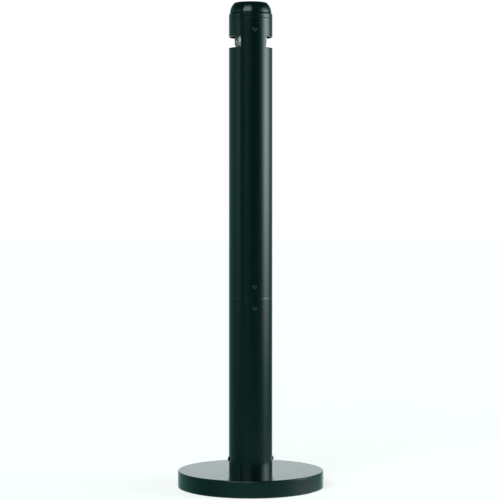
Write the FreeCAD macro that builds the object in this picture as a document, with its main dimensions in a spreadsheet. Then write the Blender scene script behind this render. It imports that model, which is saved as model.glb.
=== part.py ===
import FreeCAD, Part
import os
import Sketcher
from FreeCAD import Placement, Rotation, Vector

# Free-standing smokers' pole of painted steel tube: a ballasted round foot, a lower tube screwed to a
# socket on it, and an upper tube with two windows and a cap, which lifts off a sleeve to free the
# canister. Millimetres, +Z up, origin at the centre of the foot's underside, front of the pole at -Y.

doc = FreeCAD.newDocument("smokers_pole")
sheet = doc.addObject("Spreadsheet::Sheet", "Dims")

DRIVING = [
    # Column
    ("tube_od", 95.0, "outside diameter of both tubes and the cap's collar"),
    ("tube_wall", 2.0, "wall of both tubes"),
    ("lower_tube_length", 377.4, "foot to joint"),
    ("upper_tube_length", 602.0, "joint to cap"),
    ("tube_edge_round", 0.8, "rounding of the tube ends that show"),
    ("slip_fit", 0.3, "radial clearance of what slides inside a tube"),
    ("seat_gap", 0.05, "clearance of parts that are screwed or welded tight"),
    ("loose_gap", 0.3, "gap between moving parts that rest on each other"),
    # Windows and stub plates
    ("window_height", 23.7, "height of each window"),
    ("window_drop", 39.2, "top of the windows below the top of the tube"),
    ("web_width", 54.9, "width of the tube left between the windows"),
    ("plate_height", 38.4, "stub plate, from the centre of its hem to its top"),
    ("plate_thick", 1.0, "stub plate sheet"),
    ("plate_angle", 94.0, "angle that a stub plate covers, in degrees"),
    ("hem_radius", 2.6, "outside radius of the stub plate's rolled hem"),
    ("hem_above_sill", 10.8, "centre of the hem above the lower edge of the windows"),
    # Cap
    ("collar_height", 8.8, "straight part of the cap"),
    ("shoulder_rise", 3.4, "height of the cap's shoulder"),
    ("shoulder_inset", 2.0, "how far the shoulder steps in"),
    ("dome_rise", 22.9, "dome above the shoulder, at its edge"),
    ("dome_inset", 11.6, "how far in from the collar the flat top starts"),
    ("dome_bulge", 2.4, "how far the dome's side bows out from a straight cone"),
    ("crown_rise", 1.85, "how far the top is crowned"),
    ("crown_round", 6.0, "rounding between the dome's side and its top"),
    ("cap_wall", 3.0, "wall of the cap casting"),
    ("spigot_depth", 33.0, "depth of the cap's spigot inside the tube"),
    # Foot
    ("base_od", 317.5, "diameter of the foot"),
    ("base_height", 37.3, "top of the foot above the ground"),
    ("shell_wall", 2.0, "sheet of the pan"),
    ("shell_top_round", 2.6, "rounding of the pan's top edge"),
    ("shell_rim_lift", 2.0, "lower rim of the pan above the ground"),
    ("shell_rim_round", 0.9, "rounding of the lower rim"),
    ("ballast_gap", 0.5, "radial gap between the pan and its ballast"),
    ("ballast_bevel", 2.0, "bevel of the ballast's top edge"),
    ("nut_pocket_dia", 90.0, "pocket under the ballast for the socket's nuts"),
    ("nut_pocket_depth", 14.0, "depth of that pocket"),
    ("closing_plate_thick", 2.0, "closing plate"),
    ("foot_ring_height", 4.0, "rubber ring below the closing plate"),
    ("foot_ring_inset", 5.5, "rubber ring in from the edge of the foot"),
    ("foot_ring_width", 14.0, "rubber ring, radial width"),
    ("foot_ring_round", 1.0, "rounding of the rubber ring's lower edges"),
    # Socket
    ("socket_wall", 3.0, "wall of the socket cup"),
    ("socket_floor", 4.0, "floor of the socket cup"),
    ("socket_height", 50.0, "height of the socket cup"),
    ("socket_bolt_pcd", 50.0, "bolt circle in the socket's floor"),
    ("base_screw_height", 25.0, "foot screws above the top of the foot"),
    # Sleeve and lock
    ("sleeve_wall", 3.0, "wall of the sleeve"),
    ("sleeve_reach", 50.0, "reach of the sleeve to each side of the joint"),
    ("joint_screw_offset", 23.3, "screws above and below the joint"),
    ("lock_slot_gap", 0.4, "clearance of the lock screw in the sleeve's slot"),
    ("lock_nut_width", 12.0, "clamp nut, across"),
    ("lock_nut_height", 11.0, "clamp nut, up the pole"),
    ("lock_nut_thick", 2.6, "clamp nut"),
    # Funnel
    ("funnel_sheet", 1.0, "sheet of the funnel"),
    ("funnel_skirt", 12.0, "skirt of the funnel, along the tube"),
    ("funnel_drop", 15.0, "height of the funnel's cone"),
    ("funnel_throat", 44.0, "opening of the funnel"),
    ("funnel_below_sill", 3.2, "top of the funnel below the windows"),
    # Canister
    ("canister_gap", 4.2, "radial gap between the canister and the sleeve"),
    ("canister_wall", 0.8, "sheet of the canister"),
    ("canister_length", 421.0, "canister, from the seat to the top of its rim"),
    ("canister_floor_lift", 3.0, "floor of the canister above its lower edge"),
    ("canister_floor_flange", 6.0, "flange of the canister's floor"),
    ("rim_curl", 1.5, "radius of the rolled rim"),
    ("rim_wire_dia", 1.7, "wire inside the rolled rim"),
    ("seat_height", 6.0, "rubber pad under the canister"),
    ("seat_width", 8.0, "radial width of that pad"),
    ("ear_width", 10.0, "bail ear"),
    ("ear_thick", 1.2, "bail ear"),
    ("ear_drop", 22.0, "bail ear, from the handle's pivot to its lower end"),
    ("ear_rivet_pitch", 7.0, "two rivets in an ear"),
    ("ear_rivet_dia", 3.0, "rivet shank"),
    ("bail_wire_dia", 3.0, "wire of the handle"),
    ("bail_end_dia", 2.7, "turned-out ends of the wire, pressed a little thinner"),
    ("bail_hole_gap", 0.1, "radial clearance of the wire's ends in the ears"),
    ("bail_end_reach", 2.2, "wire beyond each ear"),
    # Button-head screws, 5 mm
    ("screw_dia", 5.0, "screw shank"),
    ("screw_head_dia", 9.5, "button head"),
    ("screw_head_height", 2.75, "button head"),
    ("screw_head_round", 2.2, "rounding of the button head"),
    ("screw_key", 3.0, "hexagon socket, across flats"),
    ("screw_key_depth", 1.6, "hexagon socket"),
    ("screw_hole_gap", 0.25, "radial clearance of a screw in a plain hole"),
    ("thread_gap", 0.05, "radial clearance of a screw in a tapped hole"),
    # Bolts of the socket, 8 mm, and screws of the closing plate, 4 mm
    ("bolt_dia", 8.0, "bolt shank"),
    ("bolt_head_flats", 13.0, "bolt head and nut, across flats"),
    ("bolt_head_height", 5.3, "bolt head"),
    ("bolt_nut_height", 6.8, "nut"),
    ("washer_dia", 16.0, "washer"),
    ("washer_thick", 1.6, "washer"),
    ("bolt_tip", 2.0, "bolt beyond its nut"),
    ("plate_screw_dia", 4.0, "closing plate screw"),
    ("plate_screw_head_dia", 8.0, "closing plate screw head"),
    ("plate_screw_head_height", 2.2, "closing plate screw head"),
    ("plate_screw_length", 14.0, "closing plate screw shank"),
    ("plate_screw_pcd", 200.0, "circle of the closing plate's screws"),
]

for row, (alias, number, meaning) in enumerate(DRIVING, start=1):
    sheet.set(f"A{row}", meaning)
    sheet.set(f"B{row}", str(number))
    sheet.setAlias(f"B{row}", alias)
doc.recompute()

FULL_TURN = 360.0
QUARTER_TURN = 90.0
HEX_CORNERS = 6
SAME_PLACE = 1e-4
SOCKET_BOLTS = 3
PLATE_SCREWS = 4


def dim(words):
    """Turns words such as <tube_od> into the sheet's cells, in brackets, ready for an expression."""
    for alias in sorted((entry[0] for entry in DRIVING), key=len, reverse=True):
        words = words.replace(f"<{alias}>", f"Dims.{alias}")
    return f"({words})"


def value(expression):
    return float(sheet.evalExpression(expression))


# Radii and heights that several pieces share, worked out from the sheet
TUBE_R = dim("<tube_od> / 2")
TUBE_BORE = dim("<tube_od> / 2 - <tube_wall>")
SLIP_R = dim("<tube_od> / 2 - <tube_wall> - <slip_fit>")
TOP_OF_BASE = dim("<base_height>")
JOINT = dim("<base_height> + <lower_tube_length>")
TOP_OF_TUBE = dim(f"{JOINT} + <upper_tube_length>")
WINDOW_TOP = dim(f"{TOP_OF_TUBE} - <window_drop>")
WINDOW_SILL = dim(f"{WINDOW_TOP} - <window_height>")
HEM = dim(f"{WINDOW_SILL} + <hem_above_sill>")
PLATE_TOP = dim(f"{HEM} + <plate_height>")
CAP_SCREW_Z = dim(f"({PLATE_TOP} + {WINDOW_TOP}) / 2")
LOCK_SCREW_Z = dim(f"{JOINT} + <joint_screw_offset>")
SLEEVE_SCREW_Z = dim(f"{JOINT} - <joint_screw_offset>")
BASE_SCREW_Z = dim(f"{TOP_OF_BASE} + <base_screw_height>")
SLEEVE_BORE = dim(f"{SLIP_R} - <sleeve_wall>")
SPIGOT_BORE = dim(f"{SLIP_R} - <cap_wall>")
SOCKET_BORE = dim(f"{SLIP_R} - <socket_wall>")
SHELL_R = dim("<base_od> / 2")
SHELL_CEILING = dim("<base_height> - <shell_wall>")
BALLAST_R = dim(f"{SHELL_R} - <shell_wall> - <ballast_gap>")
BALLAST_Z = dim("<foot_ring_height> + <closing_plate_thick>")
NUT_POCKET_TOP = dim(f"{BALLAST_Z} + <nut_pocket_depth>")
SOCKET_FLOOR_Z = dim(f"{TOP_OF_BASE} + <socket_floor>")
CANISTER_Z = dim(f"{SOCKET_FLOOR_Z} + <seat_height>")
CANISTER_R = dim(f"{SLEEVE_BORE} - <canister_gap>")
CANISTER_BORE = dim(f"{CANISTER_R} - <canister_wall>")
RIM_TOP = dim(f"{CANISTER_Z} + <canister_length>")
RIM_R = dim(f"{CANISTER_R} + <seat_gap> - <rim_curl>")
RIM_Z = dim(f"{RIM_TOP} - <rim_curl>")
BAIL_Z = dim(f"{RIM_TOP} + <loose_gap> + <bail_wire_dia> / 2")
EAR_X = dim(f"{CANISTER_R} + 2 * <seat_gap>")
EAR_OUTSIDE = dim(f"{EAR_X} + <ear_thick>")
EAR_RIVET_LOW = dim(f"{BAIL_Z} - <ear_drop> + <ear_width> / 3")
EAR_RIVET_HIGH = dim(f"{EAR_RIVET_LOW} + <ear_rivet_pitch>")
SCREW_R = dim("<screw_dia> / 2")
SCREW_HOLE_R = dim("<screw_dia> / 2 + <screw_hole_gap>")
TAPPED_R = dim("<screw_dia> / 2 + <thread_gap>")


# ---------------------------------------------------------------- building blocks


def new_body(name):
    return doc.addObject("PartDesign::Body", name)


def origin_plane(body, role):
    for feature in body.Origin.OriginFeatures:
        if feature.Role == role:
            return feature
    raise ValueError(role)


def new_sketch(body, name, role):
    sketch = body.newObject("Sketcher::SketchObject", name)
    sketch.AttachmentSupport = [(origin_plane(body, role), "")]
    sketch.MapMode = "FlatFace"
    return sketch


def bind_point(sketch, geometry, end, across, up):
    """Holds one point of a sketch at two bound distances from the sketch's origin."""
    for kind, expression in (("DistanceX", across), ("DistanceY", up)):
        index = sketch.addConstraint(Sketcher.Constraint(kind, geometry, end, value(expression)))
        sketch.setExpression(f"Constraints[{index}]", expression)


def outline(body, name, role, corners):
    """Closed straight-sided outline; each corner is a pair of expressions."""
    sketch = new_sketch(body, name, role)
    points = [Vector(value(across), value(up), 0) for across, up in corners]
    count = len(points)
    for i in range(count):
        sketch.addGeometry(Part.LineSegment(points[i], points[(i + 1) % count]))
    for i in range(count):
        sketch.addConstraint(Sketcher.Constraint("Coincident", i, 2, (i + 1) % count, 1))
    for i, (across, up) in enumerate(corners):
        bind_point(sketch, i, 1, across, up)
    return sketch


def circles(body, name, role, centres, radius):
    """One or more circles of the same bound radius."""
    sketch = new_sketch(body, name, role)
    for across, up in centres:
        centre = Vector(value(across), value(up), 0)
        index = sketch.addGeometry(Part.Circle(centre, Vector(0, 0, 1), value(radius)))
        bind_point(sketch, index, 3, across, up)
        held = sketch.addConstraint(Sketcher.Constraint("Radius", index, value(radius)))
        sketch.setExpression(f"Constraints[{held}]", radius)
    return sketch


def turn(body, sketch, kind="PartDesign::Revolution", angle=None):
    """Turns a half section about the pole's axis, or through an angle to both sides of the sketch."""
    feature = body.newObject(kind, f"{sketch.Name}_turned")
    feature.Profile = sketch
    feature.ReferenceAxis = (sketch, ["V_Axis"])
    feature.Angle = FULL_TURN
    if angle:
        feature.setExpression("Angle", angle)
        feature.Midplane = True
    return feature


def pad(body, sketch, length, reverse=False):
    feature = body.newObject("PartDesign::Pad", f"{sketch.Name}_pad")
    feature.Profile = sketch
    feature.setExpression("Length", length)
    feature.Reversed = reverse
    return feature


def cut(body, sketch, reverse=False, both=False, depth=None):
    """Cuts a sketch's shape through the body, one way or both ways, or to a depth."""
    doc.recompute()
    before = body.Shape.Volume
    feature = body.newObject("PartDesign::Pocket", f"{sketch.Name}_cut")
    feature.Profile = sketch
    feature.Reversed = reverse
    feature.Type = "ThroughAll"
    if both:
        feature.SideType = "Symmetric"
    if depth:
        feature.Type = "Length"
        feature.setExpression("Length", depth)
    doc.recompute()
    if not body.Shape.Volume < before:
        raise RuntimeError(f"{sketch.Name} cuts nothing from {body.Name}")
    return feature


def around(body, feature, count):
    """Repeats a feature evenly about the pole's axis."""
    pattern = body.newObject("PartDesign::PolarPattern", f"{feature.Name}_ring")
    pattern.Originals = [feature]
    pattern.Axis = (feature.Profile[0], ["N_Axis"])
    pattern.Angle = FULL_TURN
    pattern.Occurrences = count
    body.Tip = pattern
    return pattern


def round_edges(body, name, radius, heights, at_radius):
    """Rounds the circular edges of a body at the given radius and heights."""
    doc.recompute()
    base = body.Tip
    wanted = []
    for i, edge in enumerate(base.Shape.Edges, start=1):
        if edge.Degenerated or not isinstance(edge.Curve, Part.Circle):
            continue
        same_r = abs(edge.Curve.Radius - value(at_radius)) < SAME_PLACE
        level = abs(edge.Curve.Axis.x) + abs(edge.Curve.Axis.y) < SAME_PLACE
        same_z = any(abs(edge.Curve.Center.z - value(z)) < SAME_PLACE for z in heights)
        if same_r and level and same_z:
            wanted.append(f"Edge{i}")
    if not wanted:
        raise RuntimeError(f"no edge for {name}")
    fillet = body.newObject("PartDesign::Fillet", name)
    fillet.Base = (base, wanted)
    fillet.setExpression("Radius", radius)
    return fillet


def hexagon(body, name, flats, height):
    """Six-cornered outline, given across its flats, at a height above the body's XY plane."""
    corner = dim(f"{flats} / sqrt(3)")
    turns = [FULL_TURN / HEX_CORNERS * i for i in range(HEX_CORNERS)]
    corners = [(dim(f"{corner} * cos({a} deg)"), dim(f"{corner} * sin({a} deg)")) for a in turns]
    sketch = outline(body, name, "XY_Plane", corners)
    sketch.setExpression(".AttachmentOffset.Base.z", height)
    return sketch


def tube_section(inner, outer, low, high):
    return [(inner, low), (outer, low), (outer, high), (inner, high)]


def place(piece, position, rotation=Rotation()):
    """Sets a piece's attitude and binds where it stands."""
    piece.Placement = Placement(Vector(0, 0, 0), rotation)
    for axis, expression in zip("xyz", position):
        if expression:
            piece.setExpression(f".Placement.Base.{axis}", expression)


def group(name, pieces):
    """Like fasteners kept together, each still a solid of its own."""
    bundle = doc.addObject("Part::Compound", name)
    bundle.Links = pieces
    return bundle


# Attitudes of a screw whose head looks out of the tube; a screw is made with its head up
OUT_FRONT = Rotation(Vector(1, 0, 0), 90)
OUT_REAR = Rotation(Vector(1, 0, 0), -90)
OUT_RIGHT = Rotation(Vector(0, 1, 0), 90)
OUT_LEFT = Rotation(Vector(0, 1, 0), -90)


def button_screw(name, length):
    """Socket button screw, head above its own XY plane and shank below it."""
    body = new_body(name)
    head_r = dim("<screw_head_dia> / 2")
    section = [
        ("0", dim(f"-{length}")),
        (SCREW_R, dim(f"-{length}")),
        (SCREW_R, "0"),
        (head_r, "0"),
        (head_r, dim("<screw_head_height>")),
        ("0", dim("<screw_head_height>")),
    ]
    turn(body, outline(body, f"{name}_section", "XZ_Plane", section))
    round_edges(body, f"{name}_dome", dim("<screw_head_round>"), [dim("<screw_head_height>")], head_r)
    key = hexagon(body, f"{name}_key", "<screw_key>", dim("<screw_head_height>"))
    cut(body, key, depth=dim("<screw_key_depth>"))
    return body


nodes = []


def finish_node(piece, label):
    piece.Label = label
    nodes.append(piece)
    return piece


# ---------------------------------------------------------------- foot


def make_base_shell():
    body = new_body("shell")
    inner = dim(f"{SHELL_R} - <shell_wall>")
    section = [
        ("0", SHELL_CEILING),
        (inner, SHELL_CEILING),
        (inner, dim("<shell_rim_lift>")),
        (SHELL_R, dim("<shell_rim_lift>")),
        (SHELL_R, TOP_OF_BASE),
        ("0", TOP_OF_BASE),
    ]
    turn(body, outline(body, "shell_section", "XZ_Plane", section))
    hole = circles(body, "shell_hole", "XY_Plane", [("0", dim("<socket_bolt_pcd> / 2"))],
                   dim("<bolt_dia> / 2 + <screw_hole_gap>"))
    around(body, cut(body, hole, reverse=True), SOCKET_BOLTS)
    round_edges(body, "shell_shoulder", dim("<shell_top_round>"), [TOP_OF_BASE], SHELL_R)
    round_edges(body, "shell_rim", dim("<shell_rim_round>"), [dim("<shell_rim_lift>")], SHELL_R)
    finish_node(body, "base_shell")


def make_base_weight():
    body = new_body("ballast")
    bevel = dim("<ballast_bevel>")
    pocket_r = dim("<nut_pocket_dia> / 2")
    section = [
        ("0", NUT_POCKET_TOP),
        (pocket_r, NUT_POCKET_TOP),
        (pocket_r, BALLAST_Z),
        (BALLAST_R, BALLAST_Z),
        (BALLAST_R, dim(f"{SHELL_CEILING} - {bevel}")),
        (dim(f"{BALLAST_R} - {bevel}"), SHELL_CEILING),
        ("0", SHELL_CEILING),
    ]
    turn(body, outline(body, "ballast_section", "XZ_Plane", section))
    bolt_hole = circles(body, "ballast_bolt_hole", "XY_Plane", [("0", dim("<socket_bolt_pcd> / 2"))],
                        dim("<bolt_dia> / 2 + <screw_hole_gap>"))
    around(body, cut(body, bolt_hole, reverse=True), SOCKET_BOLTS)
    screw_hole = circles(body, "ballast_screw_hole", "XY_Plane", [(dim("<plate_screw_pcd> / 2"), "0")],
                         dim("<plate_screw_dia> / 2 + <thread_gap>"))
    depth = dim("<foot_ring_height> + <plate_screw_length> + <plate_screw_dia>")
    around(body, cut(body, screw_hole, reverse=True, depth=depth), PLATE_SCREWS)
    finish_node(body, "base_weight")


def make_bottom_plate():
    body = new_body("closing_plate")
    section = tube_section(dim("<nut_pocket_dia> / 2"), BALLAST_R, dim("<foot_ring_height>"), BALLAST_Z)
    turn(body, outline(body, "closing_plate_section", "XZ_Plane", section))
    hole = circles(body, "closing_plate_hole", "XY_Plane", [(dim("<plate_screw_pcd> / 2"), "0")],
                   dim("<plate_screw_dia> / 2 + <screw_hole_gap>"))
    around(body, cut(body, hole, reverse=True), PLATE_SCREWS)
    finish_node(body, "bottom_plate")


def make_bottom_plate_screws():
    screws = []
    for i in range(PLATE_SCREWS):
        body = new_body(f"plate_screw_{i + 1}")
        head_low = dim("-<plate_screw_head_height>")
        shank_r = dim("<plate_screw_dia> / 2")
        section = [
            ("0", head_low),
            (dim("<plate_screw_head_dia> / 2"), head_low),
            (dim("<plate_screw_head_dia> / 2"), "0"),
            (shank_r, "0"),
            (shank_r, dim("<plate_screw_length>")),
            ("0", dim("<plate_screw_length>")),
        ]
        turn(body, outline(body, f"plate_screw_{i + 1}_section", "XZ_Plane", section))
        angle = FULL_TURN / PLATE_SCREWS * i
        x = dim(f"<plate_screw_pcd> / 2 * cos({angle} deg)")
        y = dim(f"<plate_screw_pcd> / 2 * sin({angle} deg)")
        place(body, (x, y, dim("<foot_ring_height>")))
        screws.append(body)
    finish_node(group("plate_screws", screws), "bottom_plate_screws")


def make_foot_ring():
    body = new_body("ring")
    outer = dim(f"{SHELL_R} - <foot_ring_inset>")
    inner = dim(f"{outer} - <foot_ring_width>")
    section = tube_section(inner, outer, "0", dim("<foot_ring_height>"))
    turn(body, outline(body, "ring_section", "XZ_Plane", section))
    round_edges(body, "ring_outer_round", dim("<foot_ring_round>"), ["0"], outer)
    round_edges(body, "ring_inner_round", dim("<foot_ring_round>"), ["0"], inner)
    finish_node(body, "foot_ring")


# ---------------------------------------------------------------- socket


def make_base_socket():
    body = new_body("socket")
    top = dim(f"{TOP_OF_BASE} + <socket_height>")
    section = [
        ("0", TOP_OF_BASE),
        (SLIP_R, TOP_OF_BASE),
        (SLIP_R, top),
        (SOCKET_BORE, top),
        (SOCKET_BORE, SOCKET_FLOOR_Z),
        ("0", SOCKET_FLOOR_Z),
    ]
    turn(body, outline(body, "socket_section", "XZ_Plane", section))
    bolt_hole = circles(body, "socket_bolt_hole", "XY_Plane", [("0", dim("<socket_bolt_pcd> / 2"))],
                        dim("<bolt_dia> / 2 + <screw_hole_gap>"))
    around(body, cut(body, bolt_hole, reverse=True), SOCKET_BOLTS)
    tapped = circles(body, "socket_tapped", "YZ_Plane", [("0", BASE_SCREW_Z)], TAPPED_R)
    cut(body, tapped, both=True)
    finish_node(body, "base_socket")


def make_socket_fasteners():
    bolts = []
    washers = []
    nuts = []
    washer_z = dim(f"{NUT_POCKET_TOP} - <washer_thick>")
    nut_z = dim(f"{washer_z} - <bolt_nut_height>")
    hole_r = dim("<bolt_dia> / 2 + <thread_gap>")
    length = dim(f"{SOCKET_FLOOR_Z} - {nut_z} + <bolt_tip>")
    for i in range(SOCKET_BOLTS):
        angle = QUARTER_TURN + FULL_TURN / SOCKET_BOLTS * i
        x = dim(f"<socket_bolt_pcd> / 2 * cos({angle} deg)")
        y = dim(f"<socket_bolt_pcd> / 2 * sin({angle} deg)")

        bolt = new_body(f"bolt_{i + 1}")
        pad(bolt, hexagon(bolt, f"bolt_{i + 1}_head", "<bolt_head_flats>", "0"), dim("<bolt_head_height>"))
        shank = circles(bolt, f"bolt_{i + 1}_shank", "XY_Plane", [("0", "0")], dim("<bolt_dia> / 2"))
        pad(bolt, shank, length, reverse=True)
        place(bolt, (x, y, SOCKET_FLOOR_Z))
        bolts.append(bolt)

        washer = new_body(f"washer_{i + 1}")
        section = tube_section(hole_r, dim("<washer_dia> / 2"), "0", dim("<washer_thick>"))
        turn(washer, outline(washer, f"washer_{i + 1}_section", "XZ_Plane", section))
        place(washer, (x, y, washer_z))
        washers.append(washer)

        nut = new_body(f"nut_{i + 1}")
        pad(nut, hexagon(nut, f"nut_{i + 1}_hex", "<bolt_head_flats>", "0"), dim("<bolt_nut_height>"))
        cut(nut, circles(nut, f"nut_{i + 1}_hole", "XY_Plane", [("0", "0")], hole_r), reverse=True)
        place(nut, (x, y, nut_z))
        nuts.append(nut)
    finish_node(group("bolts", bolts), "socket_bolts")
    finish_node(group("washers", washers), "socket_washers")
    finish_node(group("nuts", nuts), "socket_nuts")


# ---------------------------------------------------------------- lower tube, sleeve and their screws


def make_lower_tube():
    body = new_body("tube_low")
    section = tube_section(TUBE_BORE, TUBE_R, TOP_OF_BASE, JOINT)
    turn(body, outline(body, "tube_low_section", "XZ_Plane", section))
    side = circles(body, "tube_low_side_holes", "YZ_Plane", [("0", BASE_SCREW_Z)], SCREW_HOLE_R)
    cut(body, side, both=True)
    front = circles(body, "tube_low_front_holes", "XZ_Plane", [("0", SLEEVE_SCREW_Z)], SCREW_HOLE_R)
    cut(body, front, both=True)
    round_edges(body, "tube_low_edge", dim("<tube_edge_round>"), [JOINT], TUBE_R)
    finish_node(body, "lower_tube")


def make_sleeve():
    body = new_body("sleeve")
    low = dim(f"{JOINT} - <sleeve_reach>")
    high = dim(f"{JOINT} + <sleeve_reach>")
    section = tube_section(SLEEVE_BORE, SLIP_R, low, high)
    turn(body, outline(body, "sleeve_section", "XZ_Plane", section))
    tapped = circles(body, "sleeve_tapped", "XZ_Plane", [("0", SLEEVE_SCREW_Z)], TAPPED_R)
    cut(body, tapped, both=True)
    # The lock screw's slot is open at the top, so the slackened screw leaves it with the upper tube
    slot_half = dim(f"{SCREW_R} + <lock_slot_gap>")
    beyond = dim(f"{high} + {slot_half}")
    side_left = dim(f"-{slot_half}")
    slot = [(side_left, LOCK_SCREW_Z), (slot_half, LOCK_SCREW_Z), (slot_half, beyond), (side_left, beyond)]
    cut(body, outline(body, "sleeve_slot", "XZ_Plane", slot), reverse=True)
    cut(body, circles(body, "sleeve_slot_end", "XZ_Plane", [("0", LOCK_SCREW_Z)], slot_half), reverse=True)
    finish_node(body, "coupling_sleeve")


def make_screw_pair(label, height, length, attitudes):
    """Two button screws on opposite sides of the pole; each attitude comes with its outward axis."""
    stand_off = dim(f"{TUBE_R} + <seat_gap>")
    screws = []
    for i, (axis, sign, attitude) in enumerate(attitudes):
        screw = button_screw(f"{label}_{i + 1}", length)
        reach = dim(f"{sign} * {stand_off}")
        spot = (reach, None, height) if axis == "x" else (None, reach, height)
        place(screw, spot, attitude)
        screws.append(screw)
    finish_node(group(f"{label}_pair", screws), label)


FRONT_AND_REAR = [("y", -1, OUT_FRONT), ("y", 1, OUT_REAR)]
LEFT_AND_RIGHT = [("x", 1, OUT_RIGHT), ("x", -1, OUT_LEFT)]


# ---------------------------------------------------------------- upper column


def make_upper_tube():
    body = new_body("tube_up")
    section = tube_section(TUBE_BORE, TUBE_R, JOINT, TOP_OF_TUBE)
    turn(body, outline(body, "tube_up_section", "XZ_Plane", section))
    web_half = dim("<web_width> / 2")
    for side, sign in (("right", 1), ("left", -1)):
        near = dim(f"{sign} * {web_half}")
        far = dim(f"{sign} * <tube_od>")
        window = [(near, WINDOW_SILL), (far, WINDOW_SILL), (far, WINDOW_TOP), (near, WINDOW_TOP)]
        cut(body, outline(body, f"window_{side}", "XZ_Plane", window), both=True)
    cap_holes = circles(body, "tube_up_cap_holes", "XZ_Plane", [("0", CAP_SCREW_Z)], SCREW_HOLE_R)
    cut(body, cap_holes, both=True)
    lock_hole = circles(body, "tube_up_lock_hole", "XZ_Plane", [("0", LOCK_SCREW_Z)], SCREW_HOLE_R)
    cut(body, lock_hole, reverse=True)
    round_edges(body, "tube_up_edges", dim("<tube_edge_round>"), [JOINT, TOP_OF_TUBE], TUBE_R)
    finish_node(body, "upper_tube")


def make_lock():
    """Lock screw and the clamp nut that it pulls against the inside of the sleeve."""
    nut_half = dim("<lock_nut_width> / 2")
    # The flat nut clears the sleeve's curved wall at its two sides
    nut_face = dim(f"sqrt({SLEEVE_BORE} ^ 2 - {nut_half} ^ 2) - <loose_gap>")
    nut = new_body("clamp_nut")
    half_up = dim("<lock_nut_height> / 2")
    low = dim(f"-{half_up}")
    left = dim(f"-{nut_half}")
    corners = [(left, low), (nut_half, low), (nut_half, half_up), (left, half_up)]
    pad(nut, outline(nut, "clamp_nut_outline", "XZ_Plane", corners), dim("<lock_nut_thick>"), reverse=True)
    cut(nut, circles(nut, "clamp_nut_hole", "XZ_Plane", [("0", "0")], TAPPED_R), both=True)
    place(nut, (None, dim(f"-{nut_face}"), LOCK_SCREW_Z))
    finish_node(nut, "lock_nut")

    stand_off = dim(f"{TUBE_R} + <loose_gap>")
    length = dim(f"{stand_off} - {nut_face} + <lock_nut_thick>")
    screw = button_screw("lock", length)
    place(screw, (None, dim(f"-{stand_off}"), LOCK_SCREW_Z), OUT_FRONT)
    finish_node(screw, "lock_screw")


def make_funnel():
    body = new_body("funnel")
    top = dim(f"{WINDOW_SILL} - <funnel_below_sill>")
    outer = dim(f"{TUBE_BORE} - 2 * <seat_gap>")
    inner = dim(f"{outer} - <funnel_sheet>")
    throat = dim("<funnel_throat> / 2")
    # The cone's wall, measured upright
    cone_wall = dim(f"<funnel_sheet> * sqrt(1 + (<funnel_drop> / ({inner} - {throat})) ^ 2)")
    section = [
        (outer, dim(f"{top} - <funnel_skirt>")),
        (outer, top),
        (inner, top),
        (throat, dim(f"{top} - <funnel_drop>")),
        (throat, dim(f"{top} - <funnel_drop> - {cone_wall}")),
        (inner, dim(f"{top} - {cone_wall}")),
        (inner, dim(f"{top} - <funnel_skirt>")),
    ]
    turn(body, outline(body, "funnel_section", "XZ_Plane", section))
    finish_node(body, "butt_funnel")


def make_stub_plate(label, attitude):
    """Curved stub-out plate behind one web, with a rolled hem below and a hole for the cap screw."""
    body = new_body(f"{label}_sheet")
    outer = dim(f"{SPIGOT_BORE} - <seat_gap>")
    inner = dim(f"{outer} - <plate_thick>")
    sheet_section = outline(body, f"{label}_section", "YZ_Plane", tube_section(inner, outer, HEM, PLATE_TOP))
    turn(body, sheet_section, angle=dim("<plate_angle>"))
    hem_r = dim(f"{outer} - <hem_radius>")
    hem = circles(body, f"{label}_hem", "YZ_Plane", [(hem_r, HEM)], dim("<hem_radius>"))
    turn(body, hem, angle=dim("<plate_angle>"))
    hole = circles(body, f"{label}_hole", "XZ_Plane", [("0", CAP_SCREW_Z)], TAPPED_R)
    cut(body, hole, both=True)
    place(body, (None, None, None), attitude)
    finish_node(body, label)


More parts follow.
